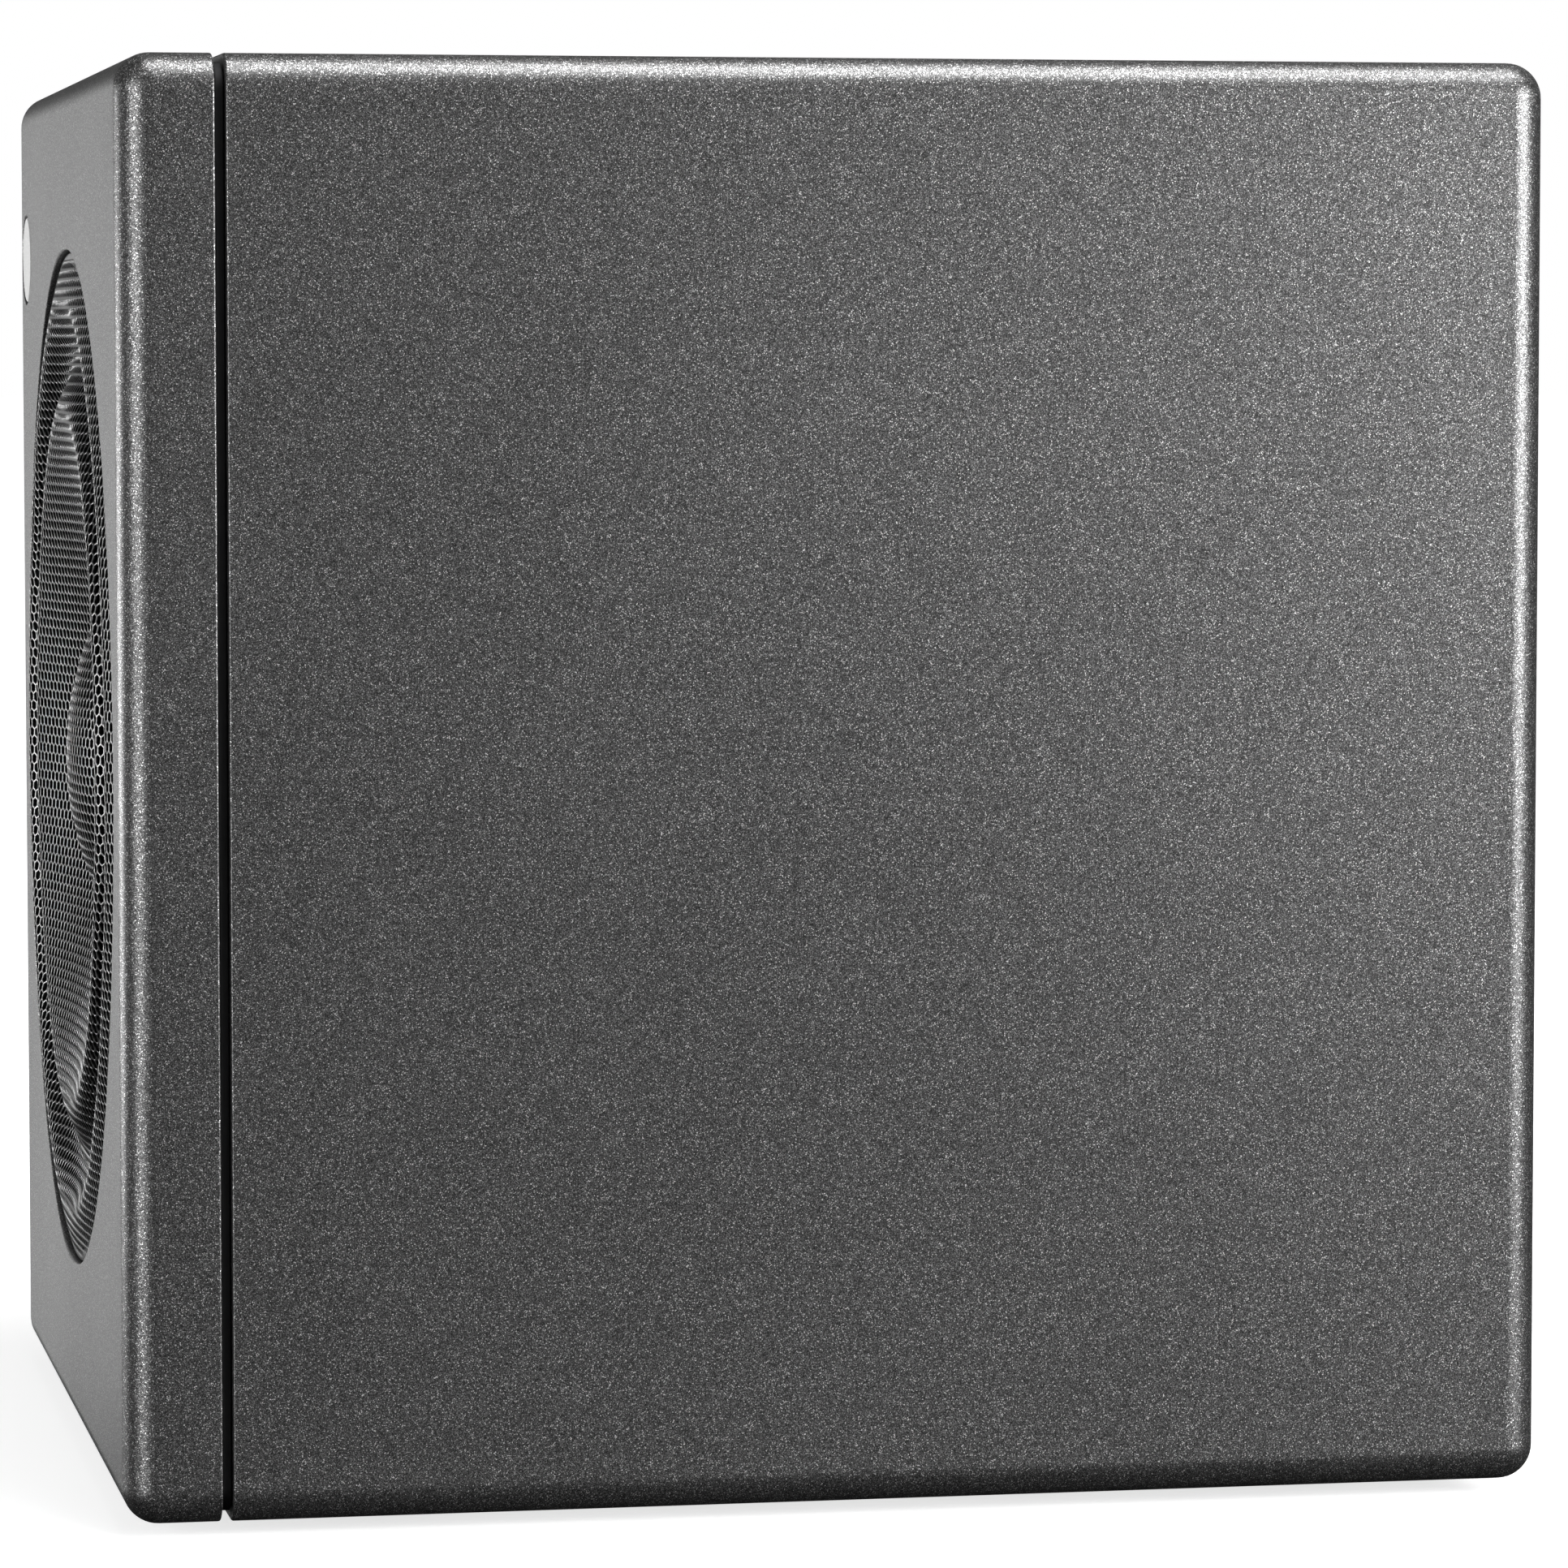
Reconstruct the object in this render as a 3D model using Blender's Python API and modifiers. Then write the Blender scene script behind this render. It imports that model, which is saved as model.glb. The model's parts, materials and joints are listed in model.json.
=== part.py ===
"""A closed-box studio subwoofer as the separate pieces that it is assembled from.

Units are metres, +Z is up and the front faces -Y. The origin is on the floor,
under the middle of the whole object. The woofer's pieces hang from an empty on
its axis, whose local +Z points out of the front.
"""

import math

import bmesh
import bpy
from mathutils import Matrix, Vector

MM = 0.001

# ---------------------------------------------------------------- driving sizes
WIDTH = 330 * MM
HEIGHT = 383 * MM
DEPTH = 383 * MM
EDGE_RADIUS = 9.5 * MM
FOOT_HEIGHT = 4 * MM
FIT_GAP = 0.3 * MM
GRILLE_PROUD = 1.0 * MM

SIDE_WALL = 19 * MM
FRONT_WALL = 22 * MM
PANEL_THICKNESS = 25.5 * MM
GROOVE_WIDTH = 2.8 * MM
GROOVE_DEPTH = 2.8 * MM

OPENING_RADIUS = 143 * MM
GRILLE_RADIUS = 142.3 * MM
GRILLE_SHEET = 1.0 * MM
GRILLE_SEAT_DEPTH = 16.3 * MM
GRILLE_SEAT_RADIUS = 136.5 * MM
CREST_OUTER = 129.4 * MM
CREST_INNER = 98.6 * MM
RIPPLE_DEPTH = 5.4 * MM
RIM_SLOPE = 0.26
DISH_SLOPE = 0.28
DISH_ROUNDING = 3 * MM
DOME_RADIUS = 93 * MM
DOME_SETBACK = 1 * MM

FLANGE_RADIUS = 131.5 * MM
FLANGE_SCREW_RADIUS = 125 * MM
FLANGE_SCREWS = 4
BASKET_HOLE_RADIUS = 116.5 * MM
REBATE_DEPTH = 7.5 * MM

PLATE_CLEARANCE = 1.5 * MM
PLATE_THICKNESS = 3 * MM
RECESS_DEPTH = 18 * MM
BATTEN_WIDTH = 27 * MM
BATTEN_THICKNESS = 12 * MM

# ------------------------------------------------------------- worked-out places
FRONT_Y = -(DEPTH + GRILLE_PROUD) / 2 + GRILLE_PROUD
BACK_Y = FRONT_Y + DEPTH
BOTTOM_Z = FOOT_HEIGHT
TOP_Z = BOTTOM_Z + HEIGHT
MIDDLE_Z = (BOTTOM_Z + TOP_Z) / 2
PANEL_BACK_Y = FRONT_Y + PANEL_THICKNESS
CABINET_FRONT_Y = PANEL_BACK_Y + GROOVE_WIDTH
FLANGE_FRONT_Y = CABINET_FRONT_Y + FIT_GAP
CAVITY_FRONT_Y = CABINET_FRONT_Y + FRONT_WALL
LEDGE_Y = BACK_Y - RECESS_DEPTH
PLATE_BACK_Y = LEDGE_Y + FIT_GAP
PLATE_Y = PLATE_BACK_Y + PLATE_THICKNESS
CAVITY_WIDTH = WIDTH - 2 * SIDE_WALL
CAVITY_HEIGHT = HEIGHT - 2 * SIDE_WALL
PLATE_WIDTH = CAVITY_WIDTH - 2 * PLATE_CLEARANCE
PLATE_HEIGHT = CAVITY_HEIGHT - 2 * PLATE_CLEARANCE
BATTEN_HOLE_WIDTH = CAVITY_WIDTH - 2 * BATTEN_WIDTH
BATTEN_HOLE_HEIGHT = CAVITY_HEIGHT - 2 * BATTEN_WIDTH

LAMP_X = -140 * MM
LAMP_Z = MIDDLE_Z + 142 * MM
LAMP_SIZE = (30 * MM, 26.4 * MM)

# Each control's place on the amplifier plate: x, and height from the middle.
CONNECTOR_ROW = 108 * MM
CONTROL_ROW = 46 * MM
MAINS_ROW = -112 * MM
XLR_INPUTS = {"left": 92 * MM, "right": 58 * MM}
XLR_OUTPUTS = {"left": 14 * MM, "right": -20 * MM}
KNOBS = {"gain_knob": 88 * MM, "phase_knob": 52 * MM}
SELECTOR_XS = {"ground_switch": 18 * MM, "bypass_switch": -10 * MM}
NETWORK_X = -84 * MM
INLET_X = 84 * MM
ROCKER_X = 34 * MM
SINK_X = -58 * MM
SINK_Z = -76 * MM

# Screws are (radius of the shank, radius of the head, height of the head).
SCREW_M5 = (2.3 * MM, 4.3 * MM, 4 * MM)
SCREW_M4 = (1.8 * MM, 3.6 * MM, 2.2 * MM)

BIG_CIRCLE = 48
MID_CIRCLE = 28
SMALL_CIRCLE = 20
TINY_CIRCLE = 10


# ------------------------------------------------------------------ scene set-up
def clear_scene():
    for obj in list(bpy.data.objects):
        bpy.data.objects.remove(obj, do_unlink=True)


def new_collection(name):
    collection = bpy.data.collections.new(name)
    bpy.context.scene.collection.children.link(collection)
    return collection


clear_scene()
PARTS = new_collection("studio_subwoofer")
CUTTERS = new_collection("cutters")


def paint(name, colour, roughness, metallic=0.0):
    material = bpy.data.materials.new(name)
    material.use_nodes = True
    shader = material.node_tree.nodes["Principled BSDF"]
    shader.inputs["Base Color"].default_value = (*colour, 1.0)
    shader.inputs["Roughness"].default_value = roughness
    shader.inputs["Metallic"].default_value = metallic
    material.diffuse_color = (*colour, 1.0)
    return material


ANTHRACITE = paint("anthracite_metallic", (0.075, 0.076, 0.078), 0.45, 0.4)
BLACK_METAL = paint("black_metal", (0.03, 0.03, 0.03), 0.4, 0.7)
BLACK_RUBBER = paint("black_rubber", (0.015, 0.015, 0.015), 0.8)
BLACK_PLASTIC = paint("black_plastic", (0.02, 0.02, 0.02), 0.45)
WHITE_LENS = paint("white_lens", (0.85, 0.85, 0.83), 0.3)
BOARD_GREEN = paint("board_green", (0.02, 0.11, 0.05), 0.5)
FOAM_GREY = paint("foam_grey", (0.06, 0.06, 0.065), 0.95)
BOARD_WOOD = paint("fibreboard", (0.36, 0.25, 0.15), 0.8)
CAST_ALUMINIUM = paint("cast_aluminium", (0.28, 0.28, 0.29), 0.5, 0.9)
STEEL = paint("zinc_steel", (0.45, 0.45, 0.44), 0.35, 1.0)
FERRITE = paint("ferrite", (0.04, 0.04, 0.045), 0.6)
PAPER_BLACK = paint("paper_black", (0.02, 0.02, 0.02), 0.75)
COPPER = paint("copper", (0.55, 0.24, 0.1), 0.35, 1.0)
DAMPER_CLOTH = paint("damper_cloth", (0.35, 0.2, 0.05), 0.85)
NICKEL = paint("nickel", (0.6, 0.58, 0.54), 0.25, 1.0)
GREY_PLASTIC = paint("grey_plastic", (0.5, 0.5, 0.5), 0.5)


# --------------------------------------------------------------- building blocks
def object_from(name, mesh, collection=PARTS, material=None, parent=None):
    obj = bpy.data.objects.new(name, mesh)
    collection.objects.link(obj)
    if material:
        mesh.materials.append(material)
    obj.parent = parent
    return obj


def add_box(bm, low, high):
    """A box between two corners."""
    low, high = Vector(low), Vector(high)
    place = Matrix.Translation((low + high) / 2) @ Matrix.Diagonal((*(high - low), 1))
    return bmesh.ops.create_cube(bm, size=1, matrix=place)["verts"]


def add_cylinder(bm, centre, radius, length, axis="Y", sides=SMALL_CIRCLE, top=None):
    """A cylinder, or a cone when top is the radius at its far end."""
    turn = {
        "X": Matrix.Rotation(math.pi / 2, 4, "Y"),
        "Y": Matrix.Rotation(-math.pi / 2, 4, "X"),
        "Z": Matrix.Identity(4),
    }[axis]
    bmesh.ops.create_cone(
        bm,
        cap_ends=True,
        segments=sides,
        radius1=radius,
        radius2=radius if top is None else top,
        depth=length,
        matrix=Matrix.Translation(centre) @ turn,
    )


def modelled(name, fill, material, parent=None, origin=(0, 0, 0)):
    """An object whose solids are made by fill(bm) in world or parent space."""
    bm = bmesh.new()
    fill(bm)
    bmesh.ops.translate(bm, vec=-Vector(origin), verts=bm.verts)
    mesh = bpy.data.meshes.new(name)
    bm.to_mesh(mesh)
    bm.free()
    obj = object_from(name, mesh, PARTS, material, parent)
    obj.location = origin
    smooth(mesh)
    return obj


def smooth(mesh):
    mesh.shade_smooth()
    mesh.set_sharp_from_angle(angle=math.radians(35))


def boolean(target, operation, name, fill, parent=None):
    """Cuts from or joins to target the solids that fill(bm) makes."""
    bm = bmesh.new()
    fill(bm)
    mesh = bpy.data.meshes.new(name)
    bm.to_mesh(mesh)
    bm.free()
    tool = object_from(name, mesh, CUTTERS, None, parent)
    tool.hide_render = True
    tool.display_type = "WIRE"
    modifier = target.modifiers.new(name, "BOOLEAN")
    modifier.operation = operation
    modifier.object = tool
    return target


def cut(target, name, fill, parent=None):
    return boolean(target, "DIFFERENCE", name, fill, parent)


def join(target, name, fill, parent=None):
    return boolean(target, "UNION", name, fill, parent)


def turned(name, profile, material, parent, sides=MID_CIRCLE, closed=True):
    """Turns a profile of (radius, height) points round the parent's Z axis.

    The profile runs down its outer side. An open one starts and ends on the axis.
    """
    bm = bmesh.new()
    points = [bm.verts.new((radius, 0, height)) for radius, height in profile]
    ends = zip(points, points[1:] + points[:1]) if closed else zip(points, points[1:])
    for start, end in ends:
        bm.edges.new((start, end))
    mesh = bpy.data.meshes.new(name)
    bm.to_mesh(mesh)
    bm.free()
    obj = object_from(name, mesh, PARTS, material, parent)
    screw = obj.modifiers.new("turn", "SCREW")
    screw.steps = sides
    screw.render_steps = sides
    screw.use_merge_vertices = True
    screw.merge_threshold = 0.00001
    screw.use_smooth_shade = True
    return obj


def sheet_profile(points, thickness):
    """A closed profile that gives a run of (radius, height) points a thickness.

    The points run inwards along the front face, and the sheet lies behind them.
    """
    back = []
    for i, (radius, height) in enumerate(points):
        before, after = points[max(i - 1, 0)], points[min(i + 1, len(points) - 1)]
        along = Vector((after[0] - before[0], after[1] - before[1])).normalized()
        back.append((radius - along.y * thickness, height + along.x * thickness))
    return list(reversed(points)) + back


def rounded_block(name, low, high, material, sharp_side, segments=4):
    """A box with rounded edges, apart from those of the face at y = sharp_side."""
    low, high = Vector(low), Vector(high)
    centre = (low + high) / 2
    bm = bmesh.new()
    add_box(bm, low - centre, high - centre)
    weight = bm.edges.layers.float.new("bevel_weight_edge")
    for edge in bm.edges:
        on_sharp_face = all(
            abs(v.co.y + centre.y - sharp_side) < 0.1 * MM for v in edge.verts
        )
        edge[weight] = 0.0 if on_sharp_face else 1.0
    mesh = bpy.data.meshes.new(name)
    bm.to_mesh(mesh)
    bm.free()
    obj = object_from(name, mesh, PARTS, material)
    obj.location = centre
    bevel = obj.modifiers.new("rounded_edges", "BEVEL")
    bevel.limit_method = "WEIGHT"
    bevel.width = EDGE_RADIUS
    bevel.segments = segments
    smooth(mesh)
    return obj


def wire(name, route, radius, material, parent=None):
    """A round wire along a list of points."""
    curve = bpy.data.curves.new(name, "CURVE")
    curve.dimensions = "3D"
    curve.bevel_depth = radius
    curve.bevel_resolution = 2
    curve.use_fill_caps = True
    spline = curve.splines.new("POLY")
    spline.points.add(len(route) - 1)
    for point, place in zip(spline.points, route):
        point.co = (*place, 1)
    obj = object_from(name, curve, PARTS, None, parent)
    curve.materials.append(material)
    return obj


def smooth_route(points, steps):
    """Points along the Catmull-Rom curve through the given ones."""
    route = []
    ends = [points[0], *points, points[-1]]
    for a, b, c, d in zip(ends, ends[1:], ends[2:], ends[3:]):
        a, b, c, d = Vector(a), Vector(b), Vector(c), Vector(d)
        for i in range(steps):
            t = i / steps
            route.append(
                0.5
                * (
                    2 * b
                    + (c - a) * t
                    + (2 * a - 5 * b + 4 * c - d) * t * t
                    + (3 * b - a - 3 * c + d) * t * t * t
                )
            )
    return [*route, Vector(points[-1])]


def round_places(count, radius, first=0.0):
    """(x, y) of places evenly spaced on a circle."""
    turns = [first + 2 * math.pi * i / count for i in range(count)]
    return [(radius * math.cos(t), radius * math.sin(t)) for t in turns]


# --------------------------------------------------------------------- enclosure
def on_plate(x, row):
    """(x, z) of a place on the amplifier plate."""
    return x, MIDDLE_Z + row


PLATE_SCREWS = {
    f"{side}_{level}": (x, MIDDLE_Z + z)
    for side, x in (("left", -136 * MM), ("right", 136 * MM))
    for level, z in (("bottom", -162 * MM), ("middle", 0), ("top", 162 * MM))
}
FLANGE_HOLES = round_places(FLANGE_SCREWS, FLANGE_SCREW_RADIUS, math.pi / 4)


def make_cabinet():
    shell = rounded_block(
        "cabinet_shell",
        (-WIDTH / 2, CABINET_FRONT_Y, BOTTOM_Z),
        (WIDTH / 2, BACK_Y, TOP_Z),
        ANTHRACITE,
        sharp_side=CABINET_FRONT_Y,
    )

    def cavity(bm):
        add_box(
            bm,
            (-CAVITY_WIDTH / 2, CAVITY_FRONT_Y, MIDDLE_Z - CAVITY_HEIGHT / 2),
            (CAVITY_WIDTH / 2, BACK_Y + 20 * MM, MIDDLE_Z + CAVITY_HEIGHT / 2),
        )

    def woofer_hole(bm):
        centre = (0, CABINET_FRONT_Y, MIDDLE_Z)
        add_cylinder(bm, centre, BASKET_HOLE_RADIUS, 3 * FRONT_WALL, "Y", BIG_CIRCLE)

    def woofer_rebate(bm):
        centre = (0, CABINET_FRONT_Y, MIDDLE_Z)
        radius = FLANGE_RADIUS + 1 * MM
        add_cylinder(bm, centre, radius, 2 * REBATE_DEPTH, "Y", BIG_CIRCLE)

    def screw_holes(bm):
        for x, z in FLANGE_HOLES:
            add_cylinder(
                bm,
                (x, CABINET_FRONT_Y + REBATE_DEPTH, MIDDLE_Z + z),
                SCREW_M5[0] + FIT_GAP,
                2 * FRONT_WALL,
                sides=TINY_CIRCLE,
            )

    cut(shell, "cavity_cutter", cavity)
    cut(shell, "woofer_hole_cutter", woofer_hole)
    cut(shell, "woofer_rebate_cutter", woofer_rebate)
    cut(shell, "screw_hole_cutter", screw_holes)


def make_rear_frame():
    """The battens glued inside the cabinet that the amplifier plate screws to."""
    half_x = CAVITY_WIDTH / 2 - FIT_GAP
    half_z = CAVITY_HEIGHT / 2 - FIT_GAP
    y_low = LEDGE_Y - BATTEN_THICKNESS
    past = 20 * MM

    def battens(bm):
        low = (-half_x, y_low, MIDDLE_Z - half_z)
        add_box(bm, low, (half_x, LEDGE_Y, MIDDLE_Z + half_z))

    def hole(bm):
        add_box(
            bm,
            (-BATTEN_HOLE_WIDTH / 2, y_low - past, MIDDLE_Z - BATTEN_HOLE_HEIGHT / 2),
            (BATTEN_HOLE_WIDTH / 2, LEDGE_Y + past, MIDDLE_Z + BATTEN_HOLE_HEIGHT / 2),
        )

    def screw_holes(bm):
        for x, z in PLATE_SCREWS.values():
            radius = SCREW_M4[0] + FIT_GAP
            add_cylinder(bm, (x, LEDGE_Y, z), radius, 40 * MM, sides=TINY_CIRCLE)

    frame = modelled("rear_frame", battens, BOARD_WOOD, origin=(0, LEDGE_Y, MIDDLE_Z))
    cut(frame, "rear_frame_cutter", hole)
    cut(frame, "rear_frame_screw_cutter", screw_holes)


def make_brace():
    """A window brace that ties the side walls together behind the magnet."""
    y = 26 * MM
    half_x = WIDTH / 2 - SIDE_WALL - FIT_GAP
    half_z = HEIGHT / 2 - SIDE_WALL - FIT_GAP

    def board(bm):
        add_box(
            bm, (-half_x, y, MIDDLE_Z - half_z), (half_x, y + 18 * MM, MIDDLE_Z + half_z)
        )

    def window(bm):
        add_box(
            bm,
            (-90 * MM, y - 10 * MM, MIDDLE_Z - 115 * MM),
            (90 * MM, y + 30 * MM, MIDDLE_Z + 115 * MM),
        )

    brace = modelled("cabinet_brace", board, BOARD_WOOD, origin=(0, y, MIDDLE_Z))
    cut(brace, "brace_window_cutter", window)


def make_damping():
    """A foam blanket over the side walls and the top, in front of the brace."""
    thickness = 22 * MM
    half_x = WIDTH / 2 - SIDE_WALL - FIT_GAP
    low_z = BOTTOM_Z + 24 * MM
    high_z = TOP_Z - SIDE_WALL - FIT_GAP
    y_low, y_high = CAVITY_FRONT_Y + 3 * MM, 22 * MM

    def blanket(bm):
        add_box(bm, (-half_x, y_low, low_z), (half_x, y_high, high_z))

    def hollow(bm):
        inner_x = half_x - thickness
        low = (-inner_x, y_low - thickness, low_z - thickness)
        add_box(bm, low, (inner_x, y_high + thickness, high_z - thickness))

    foam = modelled("damping_foam", blanket, FOAM_GREY)
    cut(foam, "damping_hollow_cutter", hollow)


def make_baffle_gasket():
    """The black spacer at the bottom of the groove behind the front panel."""
    half_x = WIDTH / 2 - GROOVE_DEPTH
    half_z = HEIGHT / 2 - GROOVE_DEPTH
    band = 14 * MM
    y_low, y_high = PANEL_BACK_Y + FIT_GAP, CABINET_FRONT_Y - FIT_GAP
    corner = EDGE_RADIUS - GROOVE_DEPTH

    def frame(bm):
        add_box(
            bm, (-half_x, y_low, MIDDLE_Z - half_z), (half_x, y_high, MIDDLE_Z + half_z)
        )
        upright = [
            e for e in bm.edges if abs(e.verts[0].co.y - e.verts[1].co.y) > MM
        ]
        bmesh.ops.bevel(
            bm, geom=upright, offset=corner, segments=4, affect="EDGES", profile=0.5
        )

    def middle(bm):
        add_box(
            bm,
            (-half_x + band, y_low - band, MIDDLE_Z - half_z + band),
            (half_x - band, y_high + band, MIDDLE_Z + half_z - band),
        )

    gasket = modelled("baffle_gasket", frame, BLACK_RUBBER)
    cut(gasket, "baffle_gasket_cutter", middle)


def ellipse_prism(bm, width, height, y_low, y_high, sides=MID_CIRCLE):
    """An elliptical disc at the status lamp's place, with its axis along Y."""
    place = (
        Matrix.Translation((LAMP_X, (y_low + y_high) / 2, LAMP_Z))
        @ Matrix.Diagonal((width / 2, 1, height / 2, 1))
        @ Matrix.Rotation(-math.pi / 2, 4, "X")
    )
    bmesh.ops.create_cone(
        bm,
        cap_ends=True,
        segments=sides,
        radius1=1,
        radius2=1,
        depth=y_high - y_low,
        matrix=place,
    )


def make_front_panel():
    panel = rounded_block(
        "front_panel",
        (-WIDTH / 2, FRONT_Y, BOTTOM_Z),
        (WIDTH / 2, PANEL_BACK_Y, TOP_Z),
        ANTHRACITE,
        sharp_side=PANEL_BACK_Y,
    )

    def opening(bm):
        centre = (0, FRONT_Y, MIDDLE_Z)
        add_cylinder(bm, centre, OPENING_RADIUS, 2 * GRILLE_SEAT_DEPTH, "Y", BIG_CIRCLE)

    def throat(bm):
        centre = (0, PANEL_BACK_Y, MIDDLE_Z)
        add_cylinder(
            bm, centre, GRILLE_SEAT_RADIUS, 2 * PANEL_THICKNESS, "Y", BIG_CIRCLE
        )

    def lamp_window(bm):
        width, height = LAMP_SIZE
        ellipse_prism(bm, width, height, FRONT_Y - MM, FRONT_Y + 3.5 * MM)

    def lamp_channel(bm):
        add_box(
            bm,
            (LAMP_X - 9 * MM, FRONT_Y + 2 * MM, LAMP_Z - 7 * MM),
            (LAMP_X + 9 * MM, PANEL_BACK_Y + MM, LAMP_Z + 7 * MM),
        )

    cut(panel, "opening_cutter", opening)
    cut(panel, "throat_cutter", throat)
    cut(panel, "lamp_window_cutter", lamp_window)
    cut(panel, "lamp_channel_cutter", lamp_channel)


def make_status_light():
    def lens(bm):
        width, height = (size - 2 * FIT_GAP for size in LAMP_SIZE)
        y = FRONT_Y + 0.1 * MM
        ellipse_prism(bm, width, height, y, y + 3 * MM)

    def board(bm):
        y = FRONT_Y + 12 * MM
        add_box(
            bm,
            (LAMP_X - 8.5 * MM, y, LAMP_Z - 6.5 * MM),
            (LAMP_X + 8.5 * MM, y + 1.6 * MM, LAMP_Z + 6.5 * MM),
        )

    def lamps(bm):
        for dx in (-5 * MM, 0, 5 * MM):
            low = (LAMP_X + dx - 1.5 * MM, FRONT_Y + 10 * MM, LAMP_Z - 1.5 * MM)
            high = (LAMP_X + dx + 1.5 * MM, FRONT_Y + 12.5 * MM, LAMP_Z + 1.5 * MM)
            add_box(bm, low, high)

    modelled("status_light_lens", lens, WHITE_LENS)
    light = modelled("status_light_board", board, BOARD_GREEN)
    join(light, "status_lamps", lamps)


def make_feet():
    for y_side, y_name in ((-1, "front"), (1, "rear")):
        for x_side, x_name in ((-1, "left"), (1, "right")):
            x = x_side * 112 * MM
            y = y_side * 145 * MM

            def disc(bm, x=x, y=y):
                height = FOOT_HEIGHT - FIT_GAP
                add_cylinder(
                    bm, (x, y, height / 2), 14 * MM, height, "Z", SMALL_CIRCLE, 16 * MM
                )

            modelled(f"foot_{y_name}_{x_name}", disc, BLACK_RUBBER, origin=(x, y, 0))


# ------------------------------------------------------------------------ grille
def grille_depth(radius):
    """How far the grille's face lies behind the front of its crests."""
    if radius > CREST_OUTER:
        run = radius - CREST_OUTER
        return RIM_SLOPE * (math.hypot(run, DISH_ROUNDING) - DISH_ROUNDING)
    if radius > CREST_INNER:
        wave = (radius - CREST_INNER) / (CREST_OUTER - CREST_INNER)
        return RIPPLE_DEPTH / 2 * (1 - math.cos(2 * math.pi * wave))
    run = CREST_INNER - radius
    dish = DISH_SLOPE * (math.hypot(run, DISH_ROUNDING) - DISH_ROUNDING)
    dome = DOME_SETBACK + radius * radius / (2 * DOME_RADIUS)
    blend = 0.8 * MM
    return -blend * math.log(math.exp(-dish / blend) + math.exp(-dome / blend))


def make_grille():
    axis = bpy.data.objects.new("grille_axis", None)
    PARTS.objects.link(axis)
    axis.location = (0, FRONT_Y - GRILLE_PROUD, MIDDLE_Z)
    axis.rotation_euler = (math.pi / 2, 0, 0)
    radii = [137, 129.4, 122, 114, 106, 98.6, 88, 62, 50, 42, 28, 14]
    face = [(GRILLE_RADIUS, -15 * MM), (GRILLE_RADIUS, -4.2 * MM)]
    face += [(r * MM, -grille_depth(r * MM)) for r in radii]
    sheet = sheet_profile(face, GRILLE_SHEET)
    front, back = sheet[: len(face)], sheet[len(face) :]
    centre = -grille_depth(0)
    profile = [(0, centre), *front, *back, (0, centre - GRILLE_SHEET)]
    turned("grille", profile, BLACK_METAL, axis, sides=36, closed=False)
    seat = [
        (GRILLE_RADIUS, -15.3 * MM),
        (GRILLE_RADIUS, -16.9 * MM),
        (GRILLE_SEAT_RADIUS, -16.9 * MM),
        (GRILLE_SEAT_RADIUS, -15.3 * MM),
    ]
    turned("grille_seat_ring", seat, BLACK_RUBBER, axis, sides=36)


# ------------------------------------------------------------------------ woofer
def make_woofer():
    axis = bpy.data.objects.new("woofer_axis", None)
    PARTS.objects.link(axis)
    axis.location = (0, FLANGE_FRONT_Y, MIDDLE_Z)
    axis.rotation_euler = (math.pi / 2, 0, 0)
    make_basket(axis)
    make_motor(axis)
    make_moving_parts(axis)
    make_suspension(axis)
    make_terminals(axis)


def make_basket(axis):
    profile = [
        (FLANGE_RADIUS, 0),
        (FLANGE_RADIUS, -6.9 * MM),
        (115 * MM, -6.9 * MM),
        (113 * MM, -26 * MM),
        (80 * MM, -64 * MM),
        (45 * MM, -64 * MM),
        (45 * MM, -60.5 * MM),
        (74 * MM, -60.5 * MM),
        (79 * MM, -44 * MM),
        (90 * MM, -44 * MM),
        (109.5 * MM, -25 * MM),
        (111.5 * MM, -3 * MM),
        (118.5 * MM, -3 * MM),
        (118.5 * MM, 0),
    ]
    frame = turned("driver_frame", profile, CAST_ALUMINIUM, axis, sides=36)

    def windows(bm):
        for i in range(6):
            turn = Matrix.Rotation(2 * math.pi * (i + 0.5) / 6, 4, "Z")
            upper = add_box(
                bm, (82 * MM, -40 * MM, -42.5 * MM), (130 * MM, 40 * MM, -28 * MM)
            )
            lower = add_box(
                bm, (66 * MM, -26 * MM, -59 * MM), (120 * MM, 26 * MM, -47 * MM)
            )
            bmesh.ops.transform(bm, matrix=turn, verts=upper + lower)

    def holes(bm):
        for x, y in FLANGE_HOLES:
            add_cylinder(
                bm, (x, y, 0), SCREW_M5[0] + 0.4 * MM, 40 * MM, "Z", TINY_CIRCLE
            )

    cut(frame, "basket_window_cutter", windows, axis)
    cut(frame, "flange_hole_cutter", holes, axis)

    shank, head, head_height = SCREW_M5
    for number, (x, y) in enumerate(FLANGE_HOLES, 1):

        def head_solid(bm, x=x, y=y):
            centre = (x, y, FIT_GAP + head_height / 2)
            add_cylinder(bm, centre, head, head_height, "Z", TINY_CIRCLE)

        def shank_solid(bm, x=x, y=y):
            add_cylinder(bm, (x, y, -9 * MM), shank, 22 * MM, "Z", TINY_CIRCLE)

        name = f"driver_screw_{number}"
        screw = modelled(name, head_solid, BLACK_METAL, axis)
        join(screw, f"{name}_shank", shank_solid, axis)


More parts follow.
